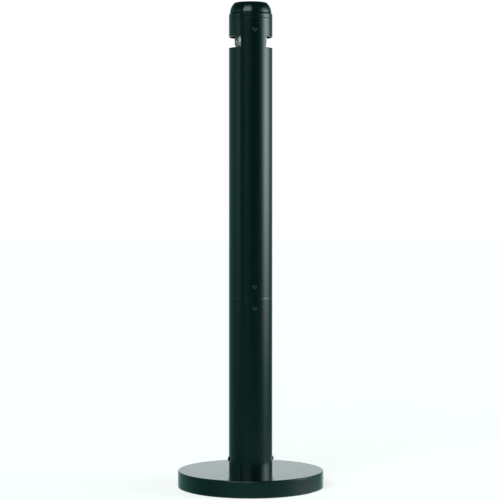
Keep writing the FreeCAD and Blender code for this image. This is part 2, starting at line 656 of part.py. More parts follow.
def make_cap():
    """Cast cap: spigot, collar, stepped shoulder and a bowed dome with a crowned top."""
    body = new_body("cap_casting")
    sketch = new_sketch(body, "cap_section", "XZ_Plane")
    collar_top = dim(f"{TOP_OF_TUBE} + <collar_height>")
    shoulder_r = dim(f"{TUBE_R} - <shoulder_inset>")
    shoulder_z = dim(f"{collar_top} + <shoulder_rise>")
    top_r = dim(f"{TUBE_R} - <dome_inset>")
    top_z = dim(f"{shoulder_z} + <dome_rise>")
    crown_z = dim(f"{top_z} + <crown_rise>")
    ceiling_r = dim(f"{top_r} - <cap_wall>")
    ceiling_z = dim(f"{top_z} - <cap_wall>")
    neck_z = dim(f"{shoulder_z} - <cap_wall>")
    spigot_z = dim(f"{TOP_OF_TUBE} - <spigot_depth>")
    points = [
        (SPIGOT_BORE, spigot_z),
        (SLIP_R, spigot_z),
        (SLIP_R, TOP_OF_TUBE),
        (TUBE_R, TOP_OF_TUBE),
        (TUBE_R, collar_top),
        (shoulder_r, shoulder_z),
        (top_r, top_z),
        ("0", crown_z),
        ("0", ceiling_z),
        (ceiling_r, ceiling_z),
        (SPIGOT_BORE, neck_z),
    ]
    flat = [Vector(value(across), value(up), 0) for across, up in points]
    # The dome's side and its crown bow out; the crown's half outline bows by about a quarter of its rise
    arcs = {5: value(dim("<dome_bulge>")), 6: value(dim("<crown_rise> / 4"))}
    for i, start in enumerate(flat):
        end = flat[(i + 1) % len(flat)]
        if i in arcs:
            chord = end - start
            outwards = Vector(chord.y, -chord.x, 0).normalize()
            middle = (start + end) * 0.5 + outwards * arcs[i]
            sketch.addGeometry(Part.Arc(start, middle, end))
        else:
            sketch.addGeometry(Part.LineSegment(start, end))
    # An arc always runs anticlockwise, as this outline does, so each line starts where the last ends
    for i in range(len(flat)):
        sketch.addConstraint(Sketcher.Constraint("Coincident", i, 2, (i + 1) % len(flat), 1))
    for i, (across, up) in enumerate(points):
        bind_point(sketch, i, 1, across, up)
    dome_chord = dim(f"sqrt(({top_r} - {shoulder_r}) ^ 2 + <dome_rise> ^ 2)")
    dome_radius = dim(f"(({dome_chord} / 2) ^ 2 + <dome_bulge> ^ 2) / (2 * <dome_bulge>)")
    crown_radius = dim(f"({top_r} ^ 2 + <crown_rise> ^ 2) / (2 * <crown_rise>)")
    for arc, radius in ((5, dome_radius), (6, crown_radius)):
        held = sketch.addConstraint(Sketcher.Constraint("Radius", arc, value(radius)))
        sketch.setExpression(f"Constraints[{held}]", radius)
    turn(body, sketch)
    round_edges(body, "cap_crown_round", dim("<crown_round>"), [top_z], top_r)
    round_edges(body, "cap_edges", dim("<tube_edge_round>"), [TOP_OF_TUBE, collar_top], TUBE_R)
    tapped = circles(body, "cap_tapped", "XZ_Plane", [("0", CAP_SCREW_Z)], TAPPED_R)
    cut(body, tapped, both=True)
    finish_node(body, "cap")


# ---------------------------------------------------------------- canister


def make_canister():
    body = new_body("can")
    wall = outline(body, "can_wall", "XZ_Plane", tube_section(CANISTER_BORE, CANISTER_R, CANISTER_Z, RIM_Z))
    turn(body, wall)
    turn(body, circles(body, "can_curl", "XZ_Plane", [(RIM_R, RIM_Z)], dim("<rim_curl>")))
    wire_space = dim("<rim_wire_dia> / 2 + <seat_gap>")
    hollow = circles(body, "can_curl_hollow", "XZ_Plane", [(RIM_R, RIM_Z)], wire_space)
    turn(body, hollow, kind="PartDesign::Groove")
    rivet_hole_r = dim("<ear_rivet_dia> / 2 + <seat_gap>")
    for name, height in (("can_rivets_high", EAR_RIVET_HIGH), ("can_rivets_low", EAR_RIVET_LOW)):
        cut(body, circles(body, name, "YZ_Plane", [("0", height)], rivet_hole_r), both=True)
    finish_node(body, "canister")

    wire = doc.addObject("Part::Torus", "wire_ring")
    wire.setExpression("Radius1", RIM_R)
    wire.setExpression("Radius2", dim("<rim_wire_dia> / 2"))
    place(wire, (None, None, RIM_Z))
    finish_node(wire, "rim_wire")

    floor = new_body("can_floor")
    outer = dim(f"{CANISTER_BORE} - <seat_gap>")
    inner = dim(f"{outer} - <canister_wall>")
    low = dim(f"{CANISTER_Z} + <canister_floor_lift> - <canister_floor_flange> / 2")
    deck = dim(f"{CANISTER_Z} + <canister_floor_lift>")
    section = [
        ("0", deck),
        (inner, deck),
        (inner, low),
        (outer, low),
        (outer, dim(f"{deck} + <canister_wall>")),
        ("0", dim(f"{deck} + <canister_wall>")),
    ]
    turn(floor, outline(floor, "can_floor_section", "XZ_Plane", section))
    finish_node(floor, "canister_bottom")


def make_canister_seat():
    body = new_body("seat_pad")
    outer = dim(f"{SOCKET_BORE} - <slip_fit>")
    section = tube_section(dim(f"{outer} - <seat_width>"), outer, SOCKET_FLOOR_Z, CANISTER_Z)
    turn(body, outline(body, "seat_pad_section", "XZ_Plane", section))
    finish_node(body, "canister_seat")


def make_bail_ears():
    half = dim("<ear_width> / 2")
    low = dim(f"{BAIL_Z} - <ear_drop>")
    ears = []
    for side, sign in (("right", 1), ("left", -1)):
        body = new_body(f"ear_{side}")
        left = dim(f"-{half}")
        corners = [(left, low), (half, low), (half, BAIL_Z), (left, BAIL_Z)]
        pad(body, outline(body, f"ear_{side}_strap", "YZ_Plane", corners), dim("<ear_thick>"))
        pad(body, circles(body, f"ear_{side}_top", "YZ_Plane", [("0", BAIL_Z)], half), dim("<ear_thick>"))
        eye_r = dim("<bail_end_dia> / 2 + <bail_hole_gap>")
        cut(body, circles(body, f"ear_{side}_eye", "YZ_Plane", [("0", BAIL_Z)], eye_r), both=True)
        rivet_hole_r = dim("<ear_rivet_dia> / 2 + <seat_gap>")
        centres = [("0", EAR_RIVET_HIGH), ("0", EAR_RIVET_LOW)]
        cut(body, circles(body, f"ear_{side}_rivets", "YZ_Plane", centres, rivet_hole_r), both=True)
        if sign > 0:
            place(body, (EAR_X, None, None))
        else:
            place(body, (dim(f"-{EAR_X}"), None, None), Rotation(Vector(0, 0, 1), 180))
        ears.append(body)
    finish_node(group("ears", ears), "bail_ears")


def make_ear_rivets():
    """Each rivet is made about its own Z axis, its inner head on the canister's bore."""
    rivets = []
    head_r = dim("<ear_rivet_dia>")
    head_height = dim("<ear_rivet_dia> / 3")
    shank_r = dim("<ear_rivet_dia> / 2")
    inner_seat = dim(f"sqrt({CANISTER_BORE} ^ 2 - {head_r} ^ 2) - <seat_gap>")
    outer_seat = dim(f"{EAR_OUTSIDE} + <seat_gap>")
    section = [
        ("0", dim(f"{inner_seat} - {head_height}")),
        (head_r, dim(f"{inner_seat} - {head_height}")),
        (head_r, inner_seat),
        (shank_r, inner_seat),
        (shank_r, outer_seat),
        (head_r, outer_seat),
        (head_r, dim(f"{outer_seat} + {head_height}")),
        ("0", dim(f"{outer_seat} + {head_height}")),
    ]
    for side, attitude in (("right", OUT_RIGHT), ("left", OUT_LEFT)):
        for spot, height in (("high", EAR_RIVET_HIGH), ("low", EAR_RIVET_LOW)):
            body = new_body(f"rivet_{side}_{spot}")
            turn(body, outline(body, f"rivet_{side}_{spot}_section", "XZ_Plane", section))
            place(body, (None, None, height), attitude)
            rivets.append(body)
    finish_node(group("rivets", rivets), "ear_rivets")


def make_bail():
    """Wire handle: half a ring that lies on the rim's rear half, and an end through each ear."""
    wire_r = dim("<bail_wire_dia> / 2")
    hoop = doc.addObject("Part::Torus", "bail_hoop")
    hoop.setExpression("Radius1", RIM_R)
    hoop.setExpression("Radius2", wire_r)
    hoop.Angle3 = FULL_TURN / 2
    parts = [hoop]
    for side, attitude, sign in (("right", OUT_RIGHT, 1), ("left", OUT_LEFT, -1)):
        end = doc.addObject("Part::Cylinder", f"bail_end_{side}")
        end.setExpression("Radius", dim("<bail_end_dia> / 2"))
        end.setExpression("Height", dim(f"{EAR_OUTSIDE} + <bail_end_reach> - {RIM_R}"))
        place(end, (dim(f"{sign} * {RIM_R}"), None, None), attitude)
        parts.append(end)
    handle = doc.addObject("Part::MultiFuse", "bail_wire")
    handle.Shapes = parts
    handle.Refine = False
    place(handle, (None, None, BAIL_Z))
    finish_node(handle, "bail")


# ---------------------------------------------------------------- the whole pole

make_base_shell()
make_base_weight()
make_bottom_plate()
make_bottom_plate_screws()
make_foot_ring()
make_base_socket()
make_socket_fasteners()
make_canister_seat()
make_lower_tube()
make_screw_pair("base_screws", BASE_SCREW_Z, dim(f"{TUBE_R} - {SOCKET_BORE}"), LEFT_AND_RIGHT)
make_sleeve()
make_screw_pair("sleeve_screws", SLEEVE_SCREW_Z, dim(f"{TUBE_R} - {SLEEVE_BORE}"), FRONT_AND_REAR)
make_upper_tube()
make_lock()
make_funnel()
make_stub_plate("stub_plate_rear", Rotation())
make_stub_plate("stub_plate_front", Rotation(Vector(0, 0, 1), 180))
make_cap()
CAP_SCREW_LENGTH = dim(f"{TUBE_R} - {SPIGOT_BORE} + 2 * <plate_thick>")
make_screw_pair("cap_screws", CAP_SCREW_Z, CAP_SCREW_LENGTH, FRONT_AND_REAR)
make_canister()
make_bail_ears()
make_ear_rivets()
make_bail()

doc.recompute()
faults = [item.Name for item in doc.Objects if {"Invalid", "Error"} & set(item.State)]
faults += [piece.Label for piece in nodes if piece.Shape.isNull() or not piece.Shape.isValid()]
if faults:
    raise RuntimeError(f"failed objects: {faults}")

os.makedirs("parts", exist_ok=True)
for piece in nodes:
    piece.Shape.exportStep(f"parts/{piece.Label}.step")
    box = piece.Shape.BoundBox
    print(f"{piece.Label}: {len(piece.Shape.Solids)} solid(s), z {box.ZMin:.2f} to {box.ZMax:.2f}")
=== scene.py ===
import math
import bmesh
import bpy
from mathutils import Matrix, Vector


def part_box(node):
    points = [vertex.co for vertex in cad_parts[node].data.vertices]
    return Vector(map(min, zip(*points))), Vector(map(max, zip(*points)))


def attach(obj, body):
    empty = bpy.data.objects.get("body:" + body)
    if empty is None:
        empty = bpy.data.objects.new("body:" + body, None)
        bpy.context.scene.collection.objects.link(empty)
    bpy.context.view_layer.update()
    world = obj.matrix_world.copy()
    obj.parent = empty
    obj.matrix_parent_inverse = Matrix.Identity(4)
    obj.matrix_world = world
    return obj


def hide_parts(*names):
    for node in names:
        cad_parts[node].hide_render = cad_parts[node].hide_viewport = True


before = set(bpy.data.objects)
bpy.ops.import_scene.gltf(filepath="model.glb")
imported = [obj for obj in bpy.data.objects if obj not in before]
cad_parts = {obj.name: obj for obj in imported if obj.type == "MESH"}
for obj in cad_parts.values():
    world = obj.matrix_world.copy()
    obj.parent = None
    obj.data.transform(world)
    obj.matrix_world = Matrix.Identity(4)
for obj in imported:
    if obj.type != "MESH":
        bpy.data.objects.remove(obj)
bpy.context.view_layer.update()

# ------------------------------------------------------------------ foot pan
# The round foot: a pan spun from 2 mm steel sheet, with a rolled shoulder, a level top and a
# slightly turned-in rim. It is powder coated in semi-gloss black-green, as the column is.

MM = 0.001
pan_low, pan_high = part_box("base_shell")
pan_radius = pan_high.x
pan_top = pan_high.z
pan_rim = pan_low.z
pan_sheet = 2.0 * MM
pan_shoulder = 2.6 * MM
pan_rim_round = 0.9 * MM


def linear(hex_colour):
    """Turns an sRGB hex colour into the linear values that a shader takes."""
    shares = [int(hex_colour[i:i + 2], 16) / 255 for i in (1, 3, 5)]
    curve = [c / 12.92 if c <= 0.04045 else ((c + 0.055) / 1.055) ** 2.4 for c in shares]
    return (*curve, 1.0)


def add(tree, kind, inputs=None, **settings):
    """Adds a node with its settings; inputs maps a socket to a value or to another node's output."""
    node = tree.nodes.new(kind)
    for name, setting in settings.items():
        setattr(node, name, setting)
    for socket, source in (inputs or {}).items():
        if isinstance(source, bpy.types.NodeSocket):
            tree.links.new(source, node.inputs[socket])
        else:
            node.inputs[socket].default_value = source
    return node


def powder_coat():
    """Polyester powder coat, baked on steel: deep black-green, glossy enough to mirror the studio,
    with a faint orange peel, slow changes of shade, settled dust and rubbed edges."""
    material = bpy.data.materials.new("black_green_powder_coat")
    material.use_nodes = True
    tree = material.node_tree
    shader = tree.nodes["Principled BSDF"]
    spot = add(tree, "ShaderNodeTexCoord").outputs["Object"]

    shade = add(tree, "ShaderNodeTexNoise", {"Vector": spot, "Scale": 1 / (60 * MM), "Detail": 3.0})
    green = add(tree, "ShaderNodeMix", {
        "Factor": shade.outputs["Fac"], 6: linear("#031a17"), 7: linear("#05201d")}, data_type="RGBA")

    # Dust lies only where the coat faces up, in fine grains
    grains = add(tree, "ShaderNodeTexNoise", {"Vector": spot, "Scale": 1 / (2.2 * MM), "Detail": 4.0})
    drifts = add(tree, "ShaderNodeTexNoise", {"Vector": spot, "Scale": 1 / (45 * MM), "Detail": 2.0})
    surface = add(tree, "ShaderNodeNewGeometry")
    facing = add(tree, "ShaderNodeSeparateXYZ", {"Vector": surface.outputs["Normal"]})
    level = add(tree, "ShaderNodeMapRange", {"Value": facing.outputs["Z"], "From Min": 0.8, "From Max": 1.0})
    thick = add(tree, "ShaderNodeMapRange", {
        "Value": grains.outputs["Fac"], "From Min": 0.55, "From Max": 0.75, "To Max": 0.08})
    patchy = add(tree, "ShaderNodeMath", {
        0: thick.outputs["Result"], 1: drifts.outputs["Fac"]}, operation="MULTIPLY")
    dust = add(tree, "ShaderNodeMath", {
        0: patchy.outputs[0], 1: level.outputs["Result"]}, operation="MULTIPLY")
    dusty = add(tree, "ShaderNodeMix", {
        "Factor": dust.outputs[0], 6: green.outputs[2], 7: linear("#8d8f88")}, data_type="RGBA")

    # Handling wears the rounded edges a little paler and duller, in broken strokes
    rub = add(tree, "ShaderNodeAttribute", attribute_name="rub")
    strokes = add(tree, "ShaderNodeTexNoise", {
        "Vector": spot, "Scale": 1 / (9 * MM), "Detail": 5.0, "Roughness": 0.7})
    broken = add(tree, "ShaderNodeMapRange", {
        "Value": strokes.outputs["Fac"], "From Min": 0.5, "From Max": 0.75, "To Max": 0.35})
    worn = add(tree, "ShaderNodeMath", {
        0: rub.outputs["Fac"], 1: broken.outputs["Result"]}, operation="MULTIPLY")
    colour = add(tree, "ShaderNodeMix", {
        "Factor": worn.outputs[0], 6: dusty.outputs[2], 7: linear("#3c5a55")}, data_type="RGBA")
    tree.links.new(colour.outputs[2], shader.inputs["Base Color"])

    gloss = add(tree, "ShaderNodeTexNoise", {"Vector": spot, "Scale": 1 / (25 * MM), "Detail": 2.0})
    even = add(tree, "ShaderNodeMapRange", {"Value": gloss.outputs["Fac"], "To Min": 0.13, "To Max": 0.17})
    dull = add(tree, "ShaderNodeMath", {0: dust.outputs[0], 1: worn.outputs[0]}, operation="ADD")
    rough = add(tree, "ShaderNodeMath", {0: even.outputs["Result"], 1: dull.outputs[0]}, operation="ADD")
    tree.links.new(rough.outputs[0], shader.inputs["Roughness"])

    # Orange peel is under 1 mm across; it is drawn 2 mm across so that it shows
    peel = add(tree, "ShaderNodeTexNoise", {"Vector": spot, "Scale": 1 / (2 * MM), "Detail": 1.0})
    bump = add(tree, "ShaderNodeBump", {
        "Height": peel.outputs["Fac"], "Strength": 0.10, "Distance": 0.02 * MM})
    tree.links.new(bump.outputs["Normal"], shader.inputs["Normal"])
    shader.inputs["IOR"].default_value = 1.5
    shader.inputs["Specular Tint"].default_value = linear("#f0ffff")
    return material


green_coat = powder_coat()


def rounded(corners, steps=6):
    """Rounds an outline: each corner is (radius from the axis, height, rounding). Gives (r, z, rub)."""
    points = []
    count = len(corners)
    for i, (r, z, rounding) in enumerate(corners):
        here = Vector((r, z))
        if not rounding:
            points.append((r, z, 0.0))
            continue
        before = (Vector(corners[i - 1][:2]) - here).normalized()
        after = (Vector(corners[(i + 1) % count][:2]) - here).normalized()
        half = before.angle(after) / 2
        centre = here + (before + after).normalized() * rounding / math.sin(half)
        first = here + before * rounding / math.tan(half) - centre
        last = here + after * rounding / math.tan(half) - centre
        for k in range(steps + 1):
            share = k / steps
            spoke = first.slerp(last, share) * rounding
            points.append((*(centre + spoke), math.sin(math.pi * share)))
    return points


def turning_tree():
    """Geometry Nodes tree that turns an outline, the object's own points, about the pole's axis."""
    tree = bpy.data.node_groups.new("turned_piece", "GeometryNodeTree")
    face = tree.interface
    face.new_socket("Outline", in_out="INPUT", socket_type="NodeSocketGeometry")
    for name, kind in (("Steps", "NodeSocketInt"), ("Sweep", "NodeSocketFloat"), ("Start", "NodeSocketFloat"),
                       ("Material", "NodeSocketMaterial")):
        face.new_socket(name, in_out="INPUT", socket_type=kind)
    face.new_socket("Piece", in_out="OUTPUT", socket_type="NodeSocketGeometry")
    given = add(tree, "NodeGroupInput").outputs
    size = add(tree, "GeometryNodeAttributeDomainSize", {0: given["Outline"]})
    across = add(tree, "ShaderNodeMath", {0: given["Steps"], 1: 1.0}, operation="ADD")
    grid = add(tree, "GeometryNodeMeshGrid", {
        "Vertices X": across.outputs[0], "Vertices Y": size.outputs["Point Count"]})
    number = add(tree, "GeometryNodeInputIndex").outputs[0]
    row = add(tree, "ShaderNodeMath", {0: number, 1: size.outputs["Point Count"]}, operation="MODULO")
    column = add(tree, "ShaderNodeMath", {0: number, 1: size.outputs["Point Count"]}, operation="DIVIDE")
    whole = add(tree, "ShaderNodeMath", {0: column.outputs[0]}, operation="FLOOR")
    share = add(tree, "ShaderNodeMath", {0: whole.outputs[0], 1: given["Steps"]}, operation="DIVIDE")
    angle = add(tree, "ShaderNodeMath", {
        0: share.outputs[0], 1: given["Sweep"], 2: given["Start"]}, operation="MULTIPLY_ADD")
    nearest = add(tree, "FunctionNodeFloatToInt", {0: row.outputs[0]})
    place = add(tree, "GeometryNodeSampleIndex", {
        0: given["Outline"], 1: add(tree, "GeometryNodeInputPosition").outputs[0], 2: nearest.outputs[0]},
        data_type="FLOAT_VECTOR")
    turned = add(tree, "ShaderNodeVectorRotate", {
        "Vector": place.outputs[0], "Angle": angle.outputs[0]}, rotation_type="Z_AXIS")
    moved = add(tree, "GeometryNodeSetPosition", {0: grid.outputs[0], "Position": turned.outputs[0]})
    wear = add(tree, "GeometryNodeInputNamedAttribute", {"Name": "rub"}, data_type="FLOAT")
    worn = add(tree, "GeometryNodeSampleIndex", {
        0: given["Outline"], 1: wear.outputs[0], 2: nearest.outputs[0]}, data_type="FLOAT")
    kept = add(tree, "GeometryNodeStoreNamedAttribute", {
        0: moved.outputs[0], "Name": "rub", "Value": worn.outputs[0]}, data_type="FLOAT", domain="POINT")
    closed = add(tree, "GeometryNodeMergeByDistance", {0: kept.outputs[0], "Distance": 0.002 * MM})
    smooth = add(tree, "GeometryNodeSetShadeSmooth", {0: closed.outputs[0]})
    real = add(tree, "GeometryNodeRealizeInstances", {0: smooth.outputs[0]})
    painted = add(tree, "GeometryNodeSetMaterial", {0: real.outputs[0], "Material": given["Material"]})
    add(tree, "NodeGroupOutput", {0: painted.outputs[0]})
    return tree


turning = turning_tree()


def set_inputs(modifier, **values):
    """Sets a Geometry Nodes modifier's inputs by their sockets' identifiers."""
    for item in modifier.node_group.interface.items_tree:
        if item.in_out == "INPUT" and item.name in values:
            modifier[item.identifier] = values[item.name]


def settle(thing):
    """Turns an object and its modifiers into a plain mesh at the origin."""
    graph = bpy.context.evaluated_depsgraph_get()
    mesh = bpy.data.meshes.new_from_object(thing.evaluated_get(graph))
    old = thing.data
    thing.modifiers.clear()
    thing.data = mesh
    bpy.data.meshes.remove(old)
    mesh.name = thing.name
    return thing


def new_object(name, mesh):
    thing = bpy.data.objects.new(name, mesh)
    bpy.context.scene.collection.objects.link(thing)
    return thing


def face_out(mesh):
    """Closes open ends and points every face of a closed shell outwards."""
    shell = bmesh.new()
    shell.from_mesh(mesh)
    open_edges = [e for e in shell.edges if e.is_boundary]
    if open_edges:
        bmesh.ops.holes_fill(shell, edges=open_edges)
    bmesh.ops.recalc_face_normals(shell, faces=shell.faces)
    if shell.calc_volume(signed=True) < 0:
        bmesh.ops.reverse_faces(shell, faces=shell.faces)
    shell.to_mesh(mesh)
    shell.free()


def firm_normals(thing):
    """Keeps flats flat beside small roundings."""
    firm = thing.modifiers.new("firm", "WEIGHTED_NORMAL")
    firm.keep_sharp = True
    firm.weight = 50
    return settle(thing)


def turned(name, outline, material, steps=192, sweep=math.tau, start=0.0, loop=True):
    """A piece turned from an outline of (r, z, rub) points; loop closes a ring-shaped section."""
    mesh = bpy.data.meshes.new(name)
    points = outline + outline[:1] if loop else outline
    mesh.from_pydata([(r, 0.0, z) for r, z, _ in points], [], [])
    wear = mesh.attributes.new("rub", "FLOAT", "POINT")
    wear.data.foreach_set("value", [rub for _, _, rub in points])
    piece = new_object(name, mesh)
    lathe = piece.modifiers.new("turning", "NODES")
    lathe.node_group = turning
    set_inputs(lathe, Steps=steps, Sweep=sweep, Start=start, Material=material)
    settle(piece)
    face_out(piece.data)
    return firm_normals(piece)


pan_outline = rounded([
    (0, pan_top - pan_sheet, 0),
    (pan_radius - pan_sheet, pan_top - pan_sheet, pan_shoulder - pan_sheet),
    (pan_radius - pan_sheet, pan_rim, 0.4 * MM),
    (pan_radius, pan_rim, pan_rim_round),
    (pan_radius, pan_top, pan_shoulder),
    (0, pan_top, 0),
], steps=8)
pan = turned("foot_pan", pan_outline, green_coat, steps=320, loop=False)
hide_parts("base_shell")
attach(pan, "base")

# ------------------------------------------------------------------ ballast, closing plate, foot ring
# Inside the pan: a disc of cast concrete, closed below by a galvanised plate on four screws.
# The pole stands on a ring of moulded rubber glued to that plate.


def paint(material, *names):
    """Gives CAD nodes a finish."""
    for name in names:
        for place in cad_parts[name].material_slots:
            place.material = material


def concrete():
    """Cast concrete: matt grey, cloudy, with sand in it and small air holes."""
    material = bpy.data.materials.new("cast_concrete")
    material.use_nodes = True
    tree = material.node_tree
    shader = tree.nodes["Principled BSDF"]
    spot = add(tree, "ShaderNodeTexCoord").outputs["Object"]
    clouds = add(tree, "ShaderNodeTexNoise", {"Vector": spot, "Scale": 1 / (35 * MM), "Detail": 6.0})
    sand = add(tree, "ShaderNodeTexNoise", {"Vector": spot, "Scale": 1 / (1.5 * MM), "Detail": 3.0})
    both = add(tree, "ShaderNodeMath", {
        0: sand.outputs["Fac"], 1: 0.4, 2: clouds.outputs["Fac"]}, operation="MULTIPLY_ADD")
    grey = add(tree, "ShaderNodeMix", {
        "Factor": both.outputs[0], 6: linear("#6f6c66"), 7: linear("#a09c93")}, data_type="RGBA")
    tree.links.new(grey.outputs[2], shader.inputs["Base Color"])
    holes = add(tree, "ShaderNodeTexVoronoi", {"Vector": spot, "Scale": 1 / (9 * MM)})
    pits = add(tree, "ShaderNodeMapRange", {"Value": holes.outputs["Distance"], "From Max": 0.15})
    bump = add(tree, "ShaderNodeBump", {
        "Height": pits.outputs["Result"], "Strength": 0.6, "Distance": 0.6 * MM})
    tree.links.new(bump.outputs["Normal"], shader.inputs["Normal"])
    shader.inputs["Roughness"].default_value = 0.9
    return material


def galvanised():
    """Hot-dip galvanised sheet: zinc crystals some 8 mm across, each with its own grey and gloss."""
    material = bpy.data.materials.new("galvanised_sheet")
    material.use_nodes = True
    tree = material.node_tree
    shader = tree.nodes["Principled BSDF"]
    spot = add(tree, "ShaderNodeTexCoord").outputs["Object"]
    crystals = add(tree, "ShaderNodeTexVoronoi", {"Vector": spot, "Scale": 1 / (8 * MM), "Randomness": 1.0})
    tone = add(tree, "ShaderNodeSeparateColor", {"Color": crystals.outputs["Color"]})
    feathers = add(tree, "ShaderNodeTexNoise", {
        "Vector": spot, "Scale": 1 / (3 * MM), "Detail": 4.0, "Distortion": 1.5})
    blend = add(tree, "ShaderNodeMath", {
        0: feathers.outputs["Fac"], 1: 0.35, 2: tone.outputs[0]}, operation="MULTIPLY_ADD")
    grey = add(tree, "ShaderNodeMix", {
        "Factor": blend.outputs[0], 6: linear("#9aa0a2"), 7: linear("#c3c8c9")}, data_type="RGBA")
    tree.links.new(grey.outputs[2], shader.inputs["Base Color"])
    gloss = add(tree, "ShaderNodeMapRange", {"Value": tone.outputs[1], "To Min": 0.3, "To Max": 0.52})
    tree.links.new(gloss.outputs["Result"], shader.inputs["Roughness"])
    bump = add(tree, "ShaderNodeBump", {"Height": blend.outputs[0], "Strength": 0.15, "Distance": 0.05 * MM})
    tree.links.new(bump.outputs["Normal"], shader.inputs["Normal"])
    shader.inputs["Metallic"].default_value = 1.0
    return material


def rubber():
    """Moulded black rubber: dull, faintly mottled, with a fine grain from its mould."""
    material = bpy.data.materials.new("moulded_rubber")
    material.use_nodes = True
    tree = material.node_tree
    shader = tree.nodes["Principled BSDF"]
    spot = add(tree, "ShaderNodeTexCoord").outputs["Object"]
    mottle = add(tree, "ShaderNodeTexNoise", {"Vector": spot, "Scale": 1 / (12 * MM), "Detail": 4.0})
    black = add(tree, "ShaderNodeMix", {
        "Factor": mottle.outputs["Fac"], 6: linear("#121212"), 7: linear("#242423")}, data_type="RGBA")
    tree.links.new(black.outputs[2], shader.inputs["Base Color"])
    grain = add(tree, "ShaderNodeTexNoise", {"Vector": spot, "Scale": 1 / (0.6 * MM), "Detail": 2.0})
    bump = add(tree, "ShaderNodeBump", {
        "Height": grain.outputs["Fac"], "Strength": 0.3, "Distance": 0.1 * MM})
    tree.links.new(bump.outputs["Normal"], shader.inputs["Normal"])
    shader.inputs["Roughness"].default_value = 0.72
    return material


zinc_sheet = galvanised()
black_rubber = rubber()
paint(concrete(), "base_weight")
paint(zinc_sheet, "bottom_plate")

ring_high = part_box("foot_ring")[1]
ring_width = 14 * MM
ring_outer = ring_high.x
ring_inner = ring_outer - ring_width
ring_round = 1.0 * MM
groove_width = 2.0 * MM
groove_depth = 0.8 * MM
# Two shallow grooves in the underside, as moulded rings have, keep the ring from skating
ring_corners = [(ring_inner, ring_high.z, 0.3 * MM), (ring_inner, 0, ring_round)]
for share in (1 / 3, 2 / 3):
    middle = ring_inner + (ring_outer - ring_inner) * share
    ring_corners += [(middle - groove_width, 0, 0), (middle - groove_width / 2, groove_depth, 0),
                     (middle + groove_width / 2, groove_depth, 0), (middle + groove_width, 0, 0)]
ring_corners += [(ring_outer, 0, ring_round), (ring_outer, ring_high.z, 0.3 * MM)]
foot_ring = turned("rubber_foot_ring", rounded(ring_corners, steps=4), black_rubber, steps=256)
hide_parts("foot_ring")
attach(foot_ring, "base")

# ------------------------------------------------------------------ socket, sleeve and plated hardware
# The cup bolted to the foot, the sleeve that joins the tubes, and their bolts, nuts and washers.
# All are steel, zinc plated and passivated: bright, slightly blue, with a trace of yellow.


def zinc_plate():
    """Zinc-plated steel: a clear metal, its passivation drifting from blue to straw."""
    material = bpy.data.materials.new("passivated_zinc_plate")
    material.use_nodes = True
    tree = material.node_tree
    shader = tree.nodes["Principled BSDF"]
    spot = add(tree, "ShaderNodeTexCoord").outputs["Object"]
    drift = add(tree, "ShaderNodeTexNoise", {
        "Vector": spot, "Scale": 1 / (18 * MM), "Detail": 3.0, "Distortion": 0.8})
    tint = add(tree, "ShaderNodeMix", {
        "Factor": drift.outputs["Fac"], 6: linear("#b3bcc4"), 7: linear("#c9c5b4")}, data_type="RGBA")
    tree.links.new(tint.outputs[2], shader.inputs["Base Color"])
    drawn = add(tree, "ShaderNodeMapping", {
        "Vector": spot, "Scale": (1 / (1 * MM), 1 / (1 * MM), 1 / (40 * MM))})
    lines = add(tree, "ShaderNodeTexNoise", {"Vector": drawn.outputs[0], "Scale": 1.0, "Detail": 2.0})
    gloss = add(tree, "ShaderNodeMapRange", {"Value": lines.outputs["Fac"], "To Min": 0.22, "To Max": 0.42})
    tree.links.new(gloss.outputs["Result"], shader.inputs["Roughness"])
    bump = add(tree, "ShaderNodeBump", {
        "Height": lines.outputs["Fac"], "Strength": 0.08, "Distance": 0.05 * MM})
    tree.links.new(bump.outputs["Normal"], shader.inputs["Normal"])
    shader.inputs["Metallic"].default_value = 1.0
    return material


plated = zinc_plate()
paint(plated, "base_socket", "coupling_sleeve", "lock_nut", "socket_bolts", "socket_washers", "socket_nuts",
      "bottom_plate_screws", "rim_wire", "ear_rivets")
paint(black_rubber, "canister_seat")

# ------------------------------------------------------------------ lower tube
# Welded steel tube, 95 mm across with a 2 mm wall, squared below where it stands on the pan. Its
# upper end is drawn in by a hair where the upper tube meets it, and catches the light there.

low_tube_low, low_tube_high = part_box("lower_tube")
tube_radius = low_tube_high.x
tube_wall = 2.0 * MM
tube_bore = tube_radius - tube_wall
end_round = 0.8 * MM
deburr = 0.3 * MM
drawn_in = 0.26 * MM
drawn_height = 2.8 * MM
lower_outline = rounded([
    (tube_bore, low_tube_high.z, deburr),
    (tube_bore, low_tube_low.z, deburr),
    (tube_radius, low_tube_low.z, deburr),
    (tube_radius, low_tube_high.z - drawn_height, 4 * MM),
    (tube_radius - drawn_in, low_tube_high.z, deburr),
], steps=8)
lower_tube = turned("lower_tube_shell", lower_outline, green_coat, steps=256)
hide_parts("lower_tube")
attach(lower_tube, "base")

# ------------------------------------------------------------------ upper tube
# The same tube, sawn from both sides into two windows, so that a web is left at the front and one
# at the back. Every sawn edge is deburred before coating.

up_low, up_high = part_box("upper_tube")
window_top = up_high.z - 39.2 * MM
window_sill = window_top - 23.7 * MM
web_half = 54.9 * MM / 2
WEB_STEPS = 56
WINDOW_STEPS = 84


def around_webs(radius):
    """Angles round the tube from the front web's left edge, with the windows' edges among them."""
    edge = math.asin(web_half / radius)
    stops = [-edge, edge, math.pi - edge, math.pi + edge, math.tau - edge]
    angles = []
    for i in range(4):
        steps = WINDOW_STEPS if i % 2 else WEB_STEPS
        angles += [stops[i] + (stops[i + 1] - stops[i]) * k / steps for k in range(steps)]
    return angles


